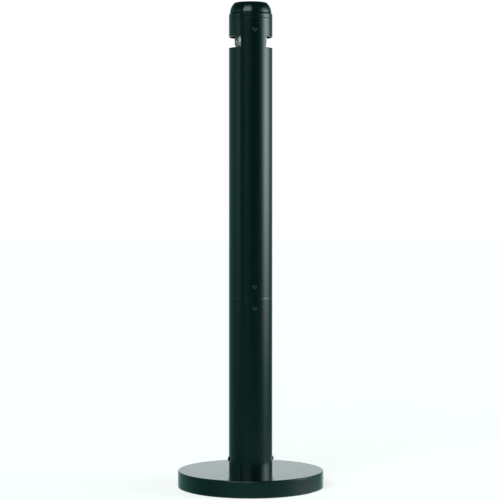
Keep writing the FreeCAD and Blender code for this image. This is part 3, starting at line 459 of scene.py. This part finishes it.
def sawn_tube(name):
    """The windowed tube as one closed mesh."""
    shell = bmesh.new()
    bow = [math.pi / 2 * k / 6 for k in range(7)]
    outer = [(tube_radius - deburr + deburr * math.sin(a), up_low.z + deburr - deburr * math.cos(a))
             for a in bow]
    outer += [(tube_radius, window_sill), (tube_radius, window_top)]
    outer += [(tube_radius - end_round + end_round * math.cos(a),
               up_high.z - end_round + end_round * math.sin(a)) for a in bow]
    inner = [(tube_bore, up_high.z), (tube_bore, window_top), (tube_bore, window_sill), (tube_bore, up_low.z)]
    wear = shell.verts.layers.float.new("rub")
    columns_outer, columns_inner = around_webs(tube_radius), around_webs(tube_bore)
    rings = []
    for radius, height in outer + inner:
        columns = columns_outer if radius > tube_bore else columns_inner
        rings.append([shell.verts.new((radius * math.sin(a), -radius * math.cos(a), height))
                      for a in columns])
    for ring in rings[1:6] + rings[10:15]:
        for vertex in ring:
            vertex[wear] = 1.0
    count = len(rings[0])
    sill_out, top_out = len(bow), len(bow) + 1
    top_in, sill_in = len(outer) + 1, len(outer) + 2
    in_window = [WEB_STEPS <= k % (WEB_STEPS + WINDOW_STEPS) for k in range(count)]
    for j, ring in enumerate(rings):
        above = rings[(j + 1) % len(rings)]
        for k in range(count):
            if j in (sill_out, top_in) and in_window[k]:
                continue
            n = (k + 1) % count
            shell.faces.new((ring[k], ring[n], above[n], above[k]))
    for k in range(count):
        n = (k + 1) % count
        if in_window[k]:
            shell.faces.new((rings[sill_out][k], rings[sill_out][n], rings[sill_in][n], rings[sill_in][k]))
            shell.faces.new((rings[top_out][n], rings[top_out][k], rings[top_in][k], rings[top_in][n]))
        if in_window[k] != in_window[k - 1]:
            shell.faces.new((rings[sill_out][k], rings[top_out][k], rings[top_in][k], rings[sill_in][k]))
    bmesh.ops.recalc_face_normals(shell, faces=shell.faces)
    for face in shell.faces:
        face.smooth = True
    mesh = bpy.data.meshes.new(name)
    shell.to_mesh(mesh)
    shell.free()
    mesh.materials.append(green_coat)
    tube = new_object(name, mesh)
    edges = tube.modifiers.new("deburred", "BEVEL")
    edges.width = deburr
    edges.segments = 3
    edges.limit_method = "ANGLE"
    edges.angle_limit = math.radians(40)
    settle(tube)
    return firm_normals(tube)


upper_tube = sawn_tube("upper_tube_shell")
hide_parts("upper_tube")
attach(upper_tube, "upper_column")

# ------------------------------------------------------------------ button-head screws
# M5 socket button screws, black oxide, oiled. The head is a low dome with a hexagon socket; the
# same screw holds the tube to its socket, the sleeve, the cap, and serves as the lock screw.


def black_oxide():
    """Oiled black oxide on steel: nearly black, satin, a little browner where tools have touched it."""
    material = bpy.data.materials.new("oiled_black_oxide")
    material.use_nodes = True
    tree = material.node_tree
    shader = tree.nodes["Principled BSDF"]
    spot = add(tree, "ShaderNodeTexCoord").outputs["Object"]
    patches = add(tree, "ShaderNodeTexNoise", {"Vector": spot, "Scale": 1 / (2 * MM), "Detail": 3.0})
    black = add(tree, "ShaderNodeMix", {
        "Factor": patches.outputs["Fac"], 6: linear("#050808"), 7: linear("#0b0f0e")}, data_type="RGBA")
    tree.links.new(black.outputs[2], shader.inputs["Base Color"])
    gloss = add(tree, "ShaderNodeMapRange", {"Value": patches.outputs["Fac"], "To Min": 0.12, "To Max": 0.22})
    tree.links.new(gloss.outputs["Result"], shader.inputs["Roughness"])
    shader.inputs["Specular IOR Level"].default_value = 0.75
    return material


oxide = black_oxide()
head_radius = 4.75 * MM
head_height = 2.75 * MM
head_crown = 2.45 * MM
shank_radius = 2.5 * MM
key_half = 1.5 * MM
key_depth = 1.6 * MM
HEAD_STEPS = 48


def screw_pattern():
    """One screw, head up from the XY plane, as a mesh for the tree below to copy."""
    def hexagon(angle):
        return key_half / math.cos((angle % (math.pi / 3)) - math.pi / 6)

    dome = [math.pi / 2 * k / 8 for k in range(9)]
    drop = head_height - 0.5 * MM
    rings = [("round", 0.0, -4.5 * MM), ("round", shank_radius, -4.5 * MM), ("round", shank_radius, 0.0),
             ("round", head_radius - 0.2 * MM, 0.0), ("round", head_radius, 0.2 * MM)]
    rings += [("round", head_crown + (head_radius - head_crown) * math.cos(a), 0.5 * MM + drop * math.sin(a))
              for a in dome]
    rings += [("key", 0.25 * MM, head_height), ("key", 0.0, head_height - 0.25 * MM),
              ("key", 0.0, head_height - key_depth), ("round", 0.0, head_height - key_depth - 0.5 * MM)]
    shell = bmesh.new()
    made = []
    for shape, radius, height in rings:
        circle = []
        for k in range(HEAD_STEPS):
            angle = math.tau * k / HEAD_STEPS
            reach = hexagon(angle) + radius if shape == "key" else radius
            circle.append(shell.verts.new((reach * math.cos(angle), reach * math.sin(angle), height)))
        made.append(circle)
    for lower, upper in zip(made, made[1:]):
        for k in range(HEAD_STEPS):
            n = (k + 1) % HEAD_STEPS
            shell.faces.new((lower[k], lower[n], upper[n], upper[k]))
    bmesh.ops.remove_doubles(shell, verts=shell.verts, dist=0.001 * MM)
    bmesh.ops.recalc_face_normals(shell, faces=shell.faces)
    for face in shell.faces:
        face.smooth = True
    for edge in shell.edges:
        edge.smooth = edge.calc_face_angle(0) < math.radians(35)
    mesh = bpy.data.meshes.new("screw_pattern")
    shell.to_mesh(mesh)
    shell.free()
    return new_object("screw_pattern", mesh)


def screw_tree():
    """Geometry Nodes tree that drives one screw in at each point, head along the point's own normal."""
    tree = bpy.data.node_groups.new("driven_screws", "GeometryNodeTree")
    face = tree.interface
    face.new_socket("Points", in_out="INPUT", socket_type="NodeSocketGeometry")
    for name, kind in (("Screw", "NodeSocketObject"), ("Material", "NodeSocketMaterial"),
                       ("Seed", "NodeSocketInt")):
        face.new_socket(name, in_out="INPUT", socket_type=kind)
    face.new_socket("Screws", in_out="OUTPUT", socket_type="NodeSocketGeometry")
    given = add(tree, "NodeGroupInput").outputs
    pattern = add(tree, "GeometryNodeObjectInfo", {"Object": given["Screw"]}, transform_space="ORIGINAL")
    out = add(tree, "GeometryNodeInputNamedAttribute", {"Name": "out"}, data_type="FLOAT_VECTOR")
    turn = add(tree, "FunctionNodeAlignRotationToVector", {"Vector": out.outputs[0]}, axis="Z")
    spin = add(tree, "FunctionNodeRandomValue", {
        "Min": 0.0, "Max": 1.0, "Seed": given["Seed"]}, data_type="FLOAT")
    share = add(tree, "ShaderNodeMath", {0: spin.outputs[1], 1: math.pi / 3}, operation="MULTIPLY")
    about = add(tree, "ShaderNodeCombineXYZ", {"Z": share.outputs[0]})
    key = add(tree, "FunctionNodeEulerToRotation", {0: about.outputs[0]})
    both = add(tree, "FunctionNodeRotateRotation", {
        0: turn.outputs[0], 1: key.outputs[0]}, rotation_space="LOCAL")
    copies = add(tree, "GeometryNodeInstanceOnPoints", {
        "Points": given["Points"], "Instance": pattern.outputs["Geometry"], "Rotation": both.outputs[0]})
    real = add(tree, "GeometryNodeRealizeInstances", {0: copies.outputs[0]})
    painted = add(tree, "GeometryNodeSetMaterial", {0: real.outputs[0], "Material": given["Material"]})
    add(tree, "NodeGroupOutput", {0: painted.outputs[0]})
    return tree


one_screw = screw_pattern()
driving = screw_tree()


def drive_screws(node, body, seed):
    """Screws for one CAD node: two on opposite sides of the tube, or the single lock screw."""
    low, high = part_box(node)
    middle = (low + high) / 2
    if node == "lock_screw":
        spots = [(Vector((0, low.y + head_height, middle.z)), Vector((0, -1, 0)))]
    else:
        axis = Vector((1, 0, 0)) if high.x > high.y else Vector((0, 1, 0))
        seat = max(high.x, high.y) - head_height
        spots = [(axis * seat * side + Vector((0, 0, middle.z)), axis * side) for side in (1, -1)]
    mesh = bpy.data.meshes.new(node)
    mesh.from_pydata([spot for spot, _ in spots], [], [])
    out = mesh.attributes.new("out", "FLOAT_VECTOR", "POINT")
    out.data.foreach_set("vector", [part for _, way in spots for part in way])
    screws = new_object(f"{node}_heads", mesh)
    driver = screws.modifiers.new("driving", "NODES")
    driver.node_group = driving
    set_inputs(driver, Screw=one_screw, Material=oxide, Seed=seed)
    settle(screws)
    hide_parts(node)
    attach(screws, body)


for seed, (node, body) in enumerate((("base_screws", "base"), ("sleeve_screws", "base"),
                                     ("cap_screws", "upper_column"), ("lock_screw", "lock_screw"))):
    drive_screws(node, body, seed)
bpy.data.objects.remove(one_screw)

# ------------------------------------------------------------------ funnel
# Under the windows a spun galvanised funnel, spot welded by its skirt, leads the ends down the
# column and starves them of air.

funnel_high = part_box("butt_funnel")[1]
funnel_radius = funnel_high.x
funnel_sheet = 1.0 * MM
funnel_skirt = 12.0 * MM
funnel_drop = 15.0 * MM
throat_radius = 22.0 * MM
cone_run = funnel_radius - funnel_sheet - throat_radius
cone_wall = funnel_sheet * math.hypot(1, funnel_drop / cone_run)
funnel_outline = rounded([
    (funnel_radius, funnel_high.z - funnel_skirt, 0),
    (funnel_radius, funnel_high.z, 0.8 * MM),
    (funnel_radius - funnel_sheet, funnel_high.z, 0.2 * MM),
    (throat_radius, funnel_high.z - funnel_drop, 0.3 * MM),
    (throat_radius, funnel_high.z - funnel_drop - cone_wall, 0.3 * MM),
    (funnel_radius - funnel_sheet, funnel_high.z - cone_wall, 0),
    (funnel_radius - funnel_sheet, funnel_high.z - funnel_skirt, 0),
], steps=4)
funnel = turned("spun_funnel", funnel_outline, zinc_sheet)
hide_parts("butt_funnel")
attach(funnel, "upper_column")

# ------------------------------------------------------------------ stub plates
# A curved plate of brushed stainless steel hangs behind each web, where cigarettes are stubbed out.
# Its lower edge is curled into a hem, and the cap screw holds it.


def stainless():
    """Brushed stainless sheet: fine upright brush lines, and a bloom of ash and tar low down."""
    material = bpy.data.materials.new("brushed_stainless")
    material.use_nodes = True
    tree = material.node_tree
    shader = tree.nodes["Principled BSDF"]
    spot = add(tree, "ShaderNodeTexCoord").outputs["Object"]
    drawn = add(tree, "ShaderNodeMapping", {
        "Vector": spot, "Scale": (1 / (0.8 * MM), 1 / (0.8 * MM), 1 / (30 * MM))})
    brush = add(tree, "ShaderNodeTexNoise", {"Vector": drawn.outputs[0], "Scale": 1.0, "Detail": 3.0})
    smoke = add(tree, "ShaderNodeTexNoise", {
        "Vector": spot, "Scale": 1 / (9 * MM), "Detail": 5.0, "Roughness": 0.65})
    stain = add(tree, "ShaderNodeMapRange", {
        "Value": smoke.outputs["Fac"], "From Min": 0.55, "From Max": 0.8, "To Max": 0.4})
    steel = add(tree, "ShaderNodeMix", {
        "Factor": brush.outputs["Fac"], 6: linear("#eaefee"), 7: linear("#f0f4f3")}, data_type="RGBA")
    marked = add(tree, "ShaderNodeMix", {
        "Factor": stain.outputs["Result"], 6: steel.outputs[2], 7: linear("#83827c")}, data_type="RGBA")
    tree.links.new(marked.outputs[2], shader.inputs["Base Color"])
    gloss = add(tree, "ShaderNodeMapRange", {"Value": brush.outputs["Fac"], "To Min": 0.5, "To Max": 0.6})
    tree.links.new(gloss.outputs["Result"], shader.inputs["Roughness"])
    bump = add(tree, "ShaderNodeBump", {
        "Height": brush.outputs["Fac"], "Strength": 0.1, "Distance": 0.05 * MM})
    tree.links.new(bump.outputs["Normal"], shader.inputs["Normal"])
    shader.inputs["Metallic"].default_value = 0.25
    return material


brushed = stainless()
plate_low, plate_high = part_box("stub_plate_rear")
plate_outer = plate_high.y
plate_sheet = 1.0 * MM
hem_radius = 2.6 * MM
hem_height = plate_low.z + hem_radius
plate_sweep = math.radians(94.0)
curl_end = math.radians(290)
CURL_STEPS = 24


def plate_outline():
    """Section of the plate: down the sheet, round the curl, and back along its inner face."""
    centre = plate_outer - hem_radius
    curl = [curl_end * k / CURL_STEPS for k in range(CURL_STEPS + 1)]
    outer = [(centre + hem_radius * math.cos(a), hem_height - hem_radius * math.sin(a), 0.0)
             for a in curl]
    bend = hem_radius - plate_sheet
    inner = [(centre + bend * math.cos(a), hem_height - bend * math.sin(a), 0.0)
             for a in reversed(curl)]
    plate_inner = plate_outer - plate_sheet
    return [(plate_outer, plate_high.z, 0.0)] + outer + inner + [(plate_inner, plate_high.z, 0.0)]


for node, facing in (("stub_plate_rear", math.pi / 2), ("stub_plate_front", -math.pi / 2)):
    plate = turned(f"{node}_sheet", plate_outline(), brushed, steps=48, sweep=plate_sweep,
                   start=facing - plate_sweep / 2)
    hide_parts(node)
    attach(plate, "upper_column")

# ------------------------------------------------------------------ cap
# Cast aluminium cap, coated with the column: a collar flush with the tube, a small stepped
# shoulder and a bowed dome with a crowned top. Its spigot drops inside the tube.

cap_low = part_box("cap")[0]
collar_top = up_high.z + 8.8 * MM
shoulder_inset = 2.0 * MM
shoulder_top = collar_top + 3.4 * MM
dome_inset = 11.6 * MM
dome_rise = 22.9 * MM
dome_bulge = 2.4 * MM
crown_rise = 1.85 * MM
crown_round = 6.0 * MM
spigot_radius = tube_bore - 0.3 * MM
cap_wall = 3.0 * MM
DOME_STEPS = 14


def bowed(start, end, bulge, steps):
    """Points of a shallow arc between two outline points, both left out."""
    chord = end - start
    out = Vector((chord.y, -chord.x)).normalized()
    radius = (chord.length ** 2 / 4 + bulge ** 2) / (2 * bulge)
    centre = (start + end) / 2 + out * (bulge - radius)
    first, last = start - centre, end - centre
    return [centre + first.slerp(last, k / steps) * radius for k in range(1, steps)]


def cap_outline():
    shoulder = Vector((tube_radius - shoulder_inset, shoulder_top))
    brow = Vector((tube_radius - dome_inset, shoulder_top + dome_rise))
    crown = Vector((0, brow.y + crown_rise))
    side = bowed(shoulder, brow, dome_bulge, DOME_STEPS)
    crown_radius = (brow.x ** 2 + crown_rise ** 2) / (2 * crown_rise)
    crest = [brow.x * (1 - k / DOME_STEPS) for k in range(1, DOME_STEPS)]
    top = [(r, crown.y - crown_radius + math.sqrt(crown_radius ** 2 - r ** 2), 0) for r in crest]
    # The dome's last points give way to the rounding between its side and its top
    side = [point for point in side if (point - brow).length > crown_round]
    top = [point for point in top if brow.x - point[0] > crown_round]
    corners = [
        (0, brow.y - cap_wall, 0),
        (brow.x - cap_wall, brow.y - cap_wall, 2 * MM),
        (spigot_radius - cap_wall, shoulder_top - cap_wall, 1 * MM),
        (spigot_radius - cap_wall, cap_low.z, deburr),
        (spigot_radius, cap_low.z, deburr),
        (spigot_radius, up_high.z, 0),
        (tube_radius, up_high.z, end_round),
        (tube_radius, collar_top, end_round),
        (shoulder.x, shoulder.y, 0.5 * MM),
    ]
    corners += [(point.x, point.y, 0) for point in side]
    corners += [(brow.x, brow.y, crown_round * 0.8)]
    corners += top + [(0, crown.y, 0)]
    return rounded(corners)


cap = turned("cap_casting", cap_outline(), green_coat, steps=256, loop=False)
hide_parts("cap")
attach(cap, "upper_column")

# ------------------------------------------------------------------ canister
# The liner that is lifted out to be emptied: galvanised sheet rolled into a tube, locked in a
# flat seam up its back, swaged with two stiffening beads and curled over a wire at the rim.

can_low, can_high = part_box("canister")
can_radius = 38.0 * MM
can_wall = 0.8 * MM
can_bore = can_radius - can_wall
curl_radius = 1.5 * MM
curl_middle = can_radius + 0.05 * MM - curl_radius
curl_height = can_high.z - curl_radius
wire_hole = 0.9 * MM
bead_height = 0.7 * MM
bead_half = 3.0 * MM
BEAD_STEPS = 10
seam_half = 2.6 * MM
seam_proud = 0.5 * MM


def beaded(radius):
    """Wall points from the floor up, pushed out at each stiffening bead."""
    wall = []
    for share in (0.25, 0.7):
        middle = can_low.z + (can_high.z - can_low.z) * share
        for k in range(BEAD_STEPS + 1):
            along = 2 * k / BEAD_STEPS - 1
            swell = bead_height * (1 + math.cos(math.pi * along)) / 2
            wall.append((radius + swell, middle + bead_half * along, 0.0))
    return wall


def can_outline():
    curl = [math.radians(-30 + 285 * k / CURL_STEPS) for k in range(CURL_STEPS + 1)]
    outside = [(curl_middle + curl_radius * math.cos(a), curl_height + curl_radius * math.sin(a), 0.0)
               for a in curl]
    inside = [(curl_middle + wire_hole * math.cos(a), curl_height + wire_hole * math.sin(a), 0.0)
              for a in reversed(curl)]
    return ([(can_bore, can_low.z, 0.0), (can_radius, can_low.z, 0.0)] + beaded(can_radius) + outside + inside
            + beaded(can_bore)[::-1])


canister = turned("rolled_canister", can_outline(), zinc_sheet)
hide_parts("canister")
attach(canister, "canister")
paint(zinc_sheet, "canister_bottom")

seam_inner = can_radius - 0.1 * MM
seam_outer = can_radius + seam_proud
seam_foot = can_low.z + 1 * MM
seam_head = curl_height - 3 * MM
seam_outline = [(seam_inner, seam_foot, 0.0), (seam_outer, seam_foot, 0.0),
                (seam_outer, seam_head, 0.0), (seam_inner, seam_head, 0.0)]
seam_turn = seam_half / can_radius
seam = turned("canister_lock_seam", seam_outline, zinc_sheet, steps=6,
              sweep=2 * seam_turn, start=math.pi / 2 - seam_turn)
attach(seam, "canister")

# ------------------------------------------------------------------ handle
# A bail of 3 mm zinc-plated wire lies on the rim's rear half. Its ends turn out through two riveted
# ears and are upset behind them.

paint(zinc_sheet, "bail_ears")
bail_low, bail_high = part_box("bail")
wire_radius = (bail_high.z - bail_low.z) / 2
bail_height = (bail_high.z + bail_low.z) / 2
bail_reach = bail_high.y - wire_radius
bail_end = bail_high.x
end_radius = 1.35 * MM
BAIL_STEPS = 64


def bail_wire():
    """Half a hoop and its two ends, as curves of round section made one mesh."""
    curve = bpy.data.curves.new("bail_wire", "CURVE")
    curve.dimensions = "3D"
    curve.bevel_depth = wire_radius
    curve.bevel_resolution = 6
    curve.use_fill_caps = True
    hoop = [(bail_reach * math.cos(math.pi * k / BAIL_STEPS), bail_reach * math.sin(math.pi * k / BAIL_STEPS))
            for k in range(BAIL_STEPS + 1)]
    path = [(bail_end - 0.9 * MM, 0.0)] + hoop + [(-bail_end + 0.9 * MM, 0.0)]
    line = curve.splines.new("POLY")
    line.points.add(len(path) - 1)
    for point, (x, y) in zip(line.points, path):
        point.co = (x, y, bail_height, 1.0)
        point.radius = end_radius / wire_radius if abs(x) > bail_reach + wire_radius / 2 else 1.0
    thing = new_object("bail_wire_curve", curve)
    graph = bpy.context.evaluated_depsgraph_get()
    mesh = bpy.data.meshes.new_from_object(thing.evaluated_get(graph))
    bpy.data.objects.remove(thing)
    mesh.materials.clear()
    mesh.materials.append(plated)
    for face in mesh.polygons:
        face.use_smooth = True
    face_out(mesh)
    return new_object("bail_handle", mesh)


bail = bail_wire()
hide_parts("bail")
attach(bail, "bail")

# ------------------------------------------------------------------ stage, light and camera
# Plain pale floor and a white surround that is darker towards the camera, with a tall soft panel on
# the right, a weaker one on the left and one overhead at the front.

floor_mesh = bpy.data.meshes.new("floor")
floor_half = 30.0
floor_mesh.from_pydata([(-floor_half, -floor_half, 0), (floor_half, -floor_half, 0),
                        (floor_half, floor_half, 0), (-floor_half, floor_half, 0)], [], [(0, 1, 2, 3)])
floor = new_object("floor", floor_mesh)
floor.visible_glossy = False


def pale_floor():
    """Pale studio floor that glows: an even white to the camera, and to the object a painted pool of light
    that is brightest at the foot and fades away from it.
    """
    material = bpy.data.materials.new("pale_studio_floor")
    material.use_nodes = True
    tree = material.node_tree
    shader = tree.nodes["Principled BSDF"]
    shader.inputs["Base Color"].default_value = linear("#e8e8e6")
    shader.inputs["Roughness"].default_value = 1.0
    shader.inputs["Specular IOR Level"].default_value = 0.0
    shader.inputs["Emission Color"].default_value = (1, 1, 1, 1)
    shader.inputs["Emission Strength"].default_value = 0.71
    spot = add(tree, "ShaderNodeTexCoord").outputs["Object"]
    away = add(tree, "ShaderNodeVectorMath", {0: spot}, operation="LENGTH")
    pool_falloff = add(tree, "ShaderNodeMapRange", {
        "Value": away.outputs["Value"], "From Min": 0.15, "From Max": 1.1, "To Min": 0.9, "To Max": 0.12},
        interpolation_type="SMOOTHSTEP")
    # Painted pool of light: the floor's glow on the object fades from the foot outwards
    painted_light_pool = add(tree, "ShaderNodeEmission", {"Strength": pool_falloff.outputs["Result"]})
    seen = add(tree, "ShaderNodeLightPath").outputs["Is Camera Ray"]
    both = add(tree, "ShaderNodeMixShader", {0: seen, 1: painted_light_pool.outputs[0], 2: shader.outputs[0]})
    tree.links.new(both.outputs[0], tree.nodes["Material Output"].inputs["Surface"])
    return material


floor_mesh.materials.append(pale_floor())

CAMERA_AZIMUTH = math.radians(-9.2)
camera_distance = 3.718
camera_height = 0.6105
camera_pitch = math.radians(1.445)
camera_side = -0.0014


# Brightness of the surround by compass angle in degrees, 0 at the camera and growing to the right:
# what the coat sees above eye level, along the floor further off, and of the floor close by.
# The ceiling and the overhead panel have one strength each.
light_above = [(-180, 1.3), (-160, 1.15), (-146, 0.45), (-110, 0.36), (-88, 0.44), (-72, 0.68),
               (-61, 0.72), (-53, 0.2), (-44, 0.07), (-27, 0.28), (-15, 0.26), (0, 0.06), (30, 0.03),
               (44, 0.16), (55, 0.5), (63, 1.3), (72, 3.6), (82, 6.5), (92, 6.1), (105, 3.8),
               (116, 1.4), (128, 0.42), (149, 0.42), (162, 1.05), (180, 1.3)]
light_far_floor = [(-180, 1.2), (-162, 0.7), (-142, 0.35), (-112, 0.3), (-90, 0.2), (-20, 0.16), (10, 0.09),
                   (38, 0.1), (60, 0.14), (82, 0.18), (104, 0.15), (140, 0.2), (160, 0.9), (180, 1.2)]
light_near_floor = [(-180, 1.2), (-148, 0.5), (-112, 0.38), (-90, 0.22), (-66, 0.12), (-30, 0.46),
                    (0, 0.52), (30, 0.52), (56, 0.7), (88, 1.4), (120, 1.1), (145, 0.6), (180, 1.2)]
ceiling_light = 0.06
panel_strength = 3.8


def studio():
    """The surround, white to the camera itself, and to the coat as bright as the tables above say."""
    world = bpy.data.worlds.new("studio")
    world.use_nodes = True
    tree = world.node_tree
    tree.nodes.clear()
    way = add(tree, "ShaderNodeTexCoord").outputs["Generated"]
    level = add(tree, "ShaderNodeVectorRotate", {
        "Vector": way, "Angle": -CAMERA_AZIMUTH}, rotation_type="Z_AXIS")
    parts = add(tree, "ShaderNodeSeparateXYZ", {"Vector": level.outputs[0]})
    front = add(tree, "ShaderNodeMath", {0: parts.outputs["Y"], 1: -1.0}, operation="MULTIPLY")
    compass = add(tree, "ShaderNodeMath", {
        0: parts.outputs["X"], 1: front.outputs[0]}, operation="ARCTAN2")
    height = add(tree, "ShaderNodeMath", {0: parts.outputs["Z"]}, operation="ARCSINE")
    share = add(tree, "ShaderNodeMapRange", {
        "Value": compass.outputs[0], "From Min": -math.pi, "From Max": math.pi})

    def ring(stops):
        strongest = max(strength for _, strength in stops)
        ramp = add(tree, "ShaderNodeValToRGB", {"Fac": share.outputs["Result"]})
        marks = ramp.color_ramp.elements
        for i, (angle, strength) in enumerate(stops):
            mark = marks[i] if i < 2 else marks.new((angle + 180) / 360)
            mark.position = (angle + 180) / 360
            mark.color = (strength / strongest,) * 3 + (1,)
        return add(tree, "ShaderNodeMath", {
            0: ramp.outputs["Color"], 1: strongest}, operation="MULTIPLY").outputs[0]

    def rise(low, high, angle=height):
        return add(tree, "ShaderNodeMapRange", {
            "Value": angle.outputs[0], "From Min": math.radians(low), "From Max": math.radians(high)},
            interpolation_type="SMOOTHSTEP").outputs["Result"]

    floor_light = add(tree, "ShaderNodeMix", {
        "Factor": rise(-10.5, -8), 2: ring(light_near_floor), 3: ring(light_far_floor)})
    walls = add(tree, "ShaderNodeMix", {
        "Factor": rise(-7.6, 3.9), 2: floor_light.outputs[0], 3: ring(light_above)})
    room = add(tree, "ShaderNodeMix", {"Factor": rise(0, 38), 2: walls.outputs[0], 3: ceiling_light})

    # A soft panel overhead in front, a little to the left
    sides = add(tree, "ShaderNodeMath", {
        0: rise(-46, -38, compass), 1: rise(8, 0, compass)}, operation="MULTIPLY")
    ends = add(tree, "ShaderNodeMath", {0: rise(11, 17), 1: rise(64, 26)}, operation="MULTIPLY")
    panel = add(tree, "ShaderNodeMath", {
        0: sides.outputs[0], 1: ends.outputs[0]}, operation="MULTIPLY")
    lit = add(tree, "ShaderNodeMath", {
        0: panel.outputs[0], 1: panel_strength, 2: room.outputs[0]}, operation="MULTIPLY_ADD")
    # The lamps are white, and the dim parts of the room a grey-green
    bright = add(tree, "ShaderNodeMapRange", {"Value": lit.outputs[0], "From Min": 0.4, "From Max": 1.0})
    tint = add(tree, "ShaderNodeMix", {
        "Factor": bright.outputs["Result"], 6: linear("#b4fff2"), 7: linear("#f2feff")}, data_type="RGBA")
    mirrored = add(tree, "ShaderNodeBackground", {"Color": tint.outputs[2], "Strength": lit.outputs[0]})
    plain = add(tree, "ShaderNodeBackground", {"Color": (1, 1, 1, 1), "Strength": 1.05})
    seen = add(tree, "ShaderNodeLightPath").outputs["Is Camera Ray"]
    both = add(tree, "ShaderNodeMixShader", {0: seen, 1: mirrored.outputs[0], 2: plain.outputs[0]})
    add(tree, "ShaderNodeOutputWorld", {0: both.outputs[0]})
    return world


bpy.context.scene.world = studio()
bpy.context.scene.view_settings.view_transform = "Standard"

camera_data = bpy.data.cameras.new("camera")
camera_data.lens = 123.16
camera_data.sensor_width = 36.0
camera = new_object("camera", camera_data)
back = Vector((math.sin(CAMERA_AZIMUTH), -math.cos(CAMERA_AZIMUTH), 0))
right = Vector((math.cos(CAMERA_AZIMUTH), math.sin(CAMERA_AZIMUTH), 0))
camera.location = back * camera_distance + right * camera_side + Vector((0, 0, camera_height))
camera.rotation_euler = (math.pi / 2 - camera_pitch, 0, CAMERA_AZIMUTH)
bpy.context.scene.camera = camera
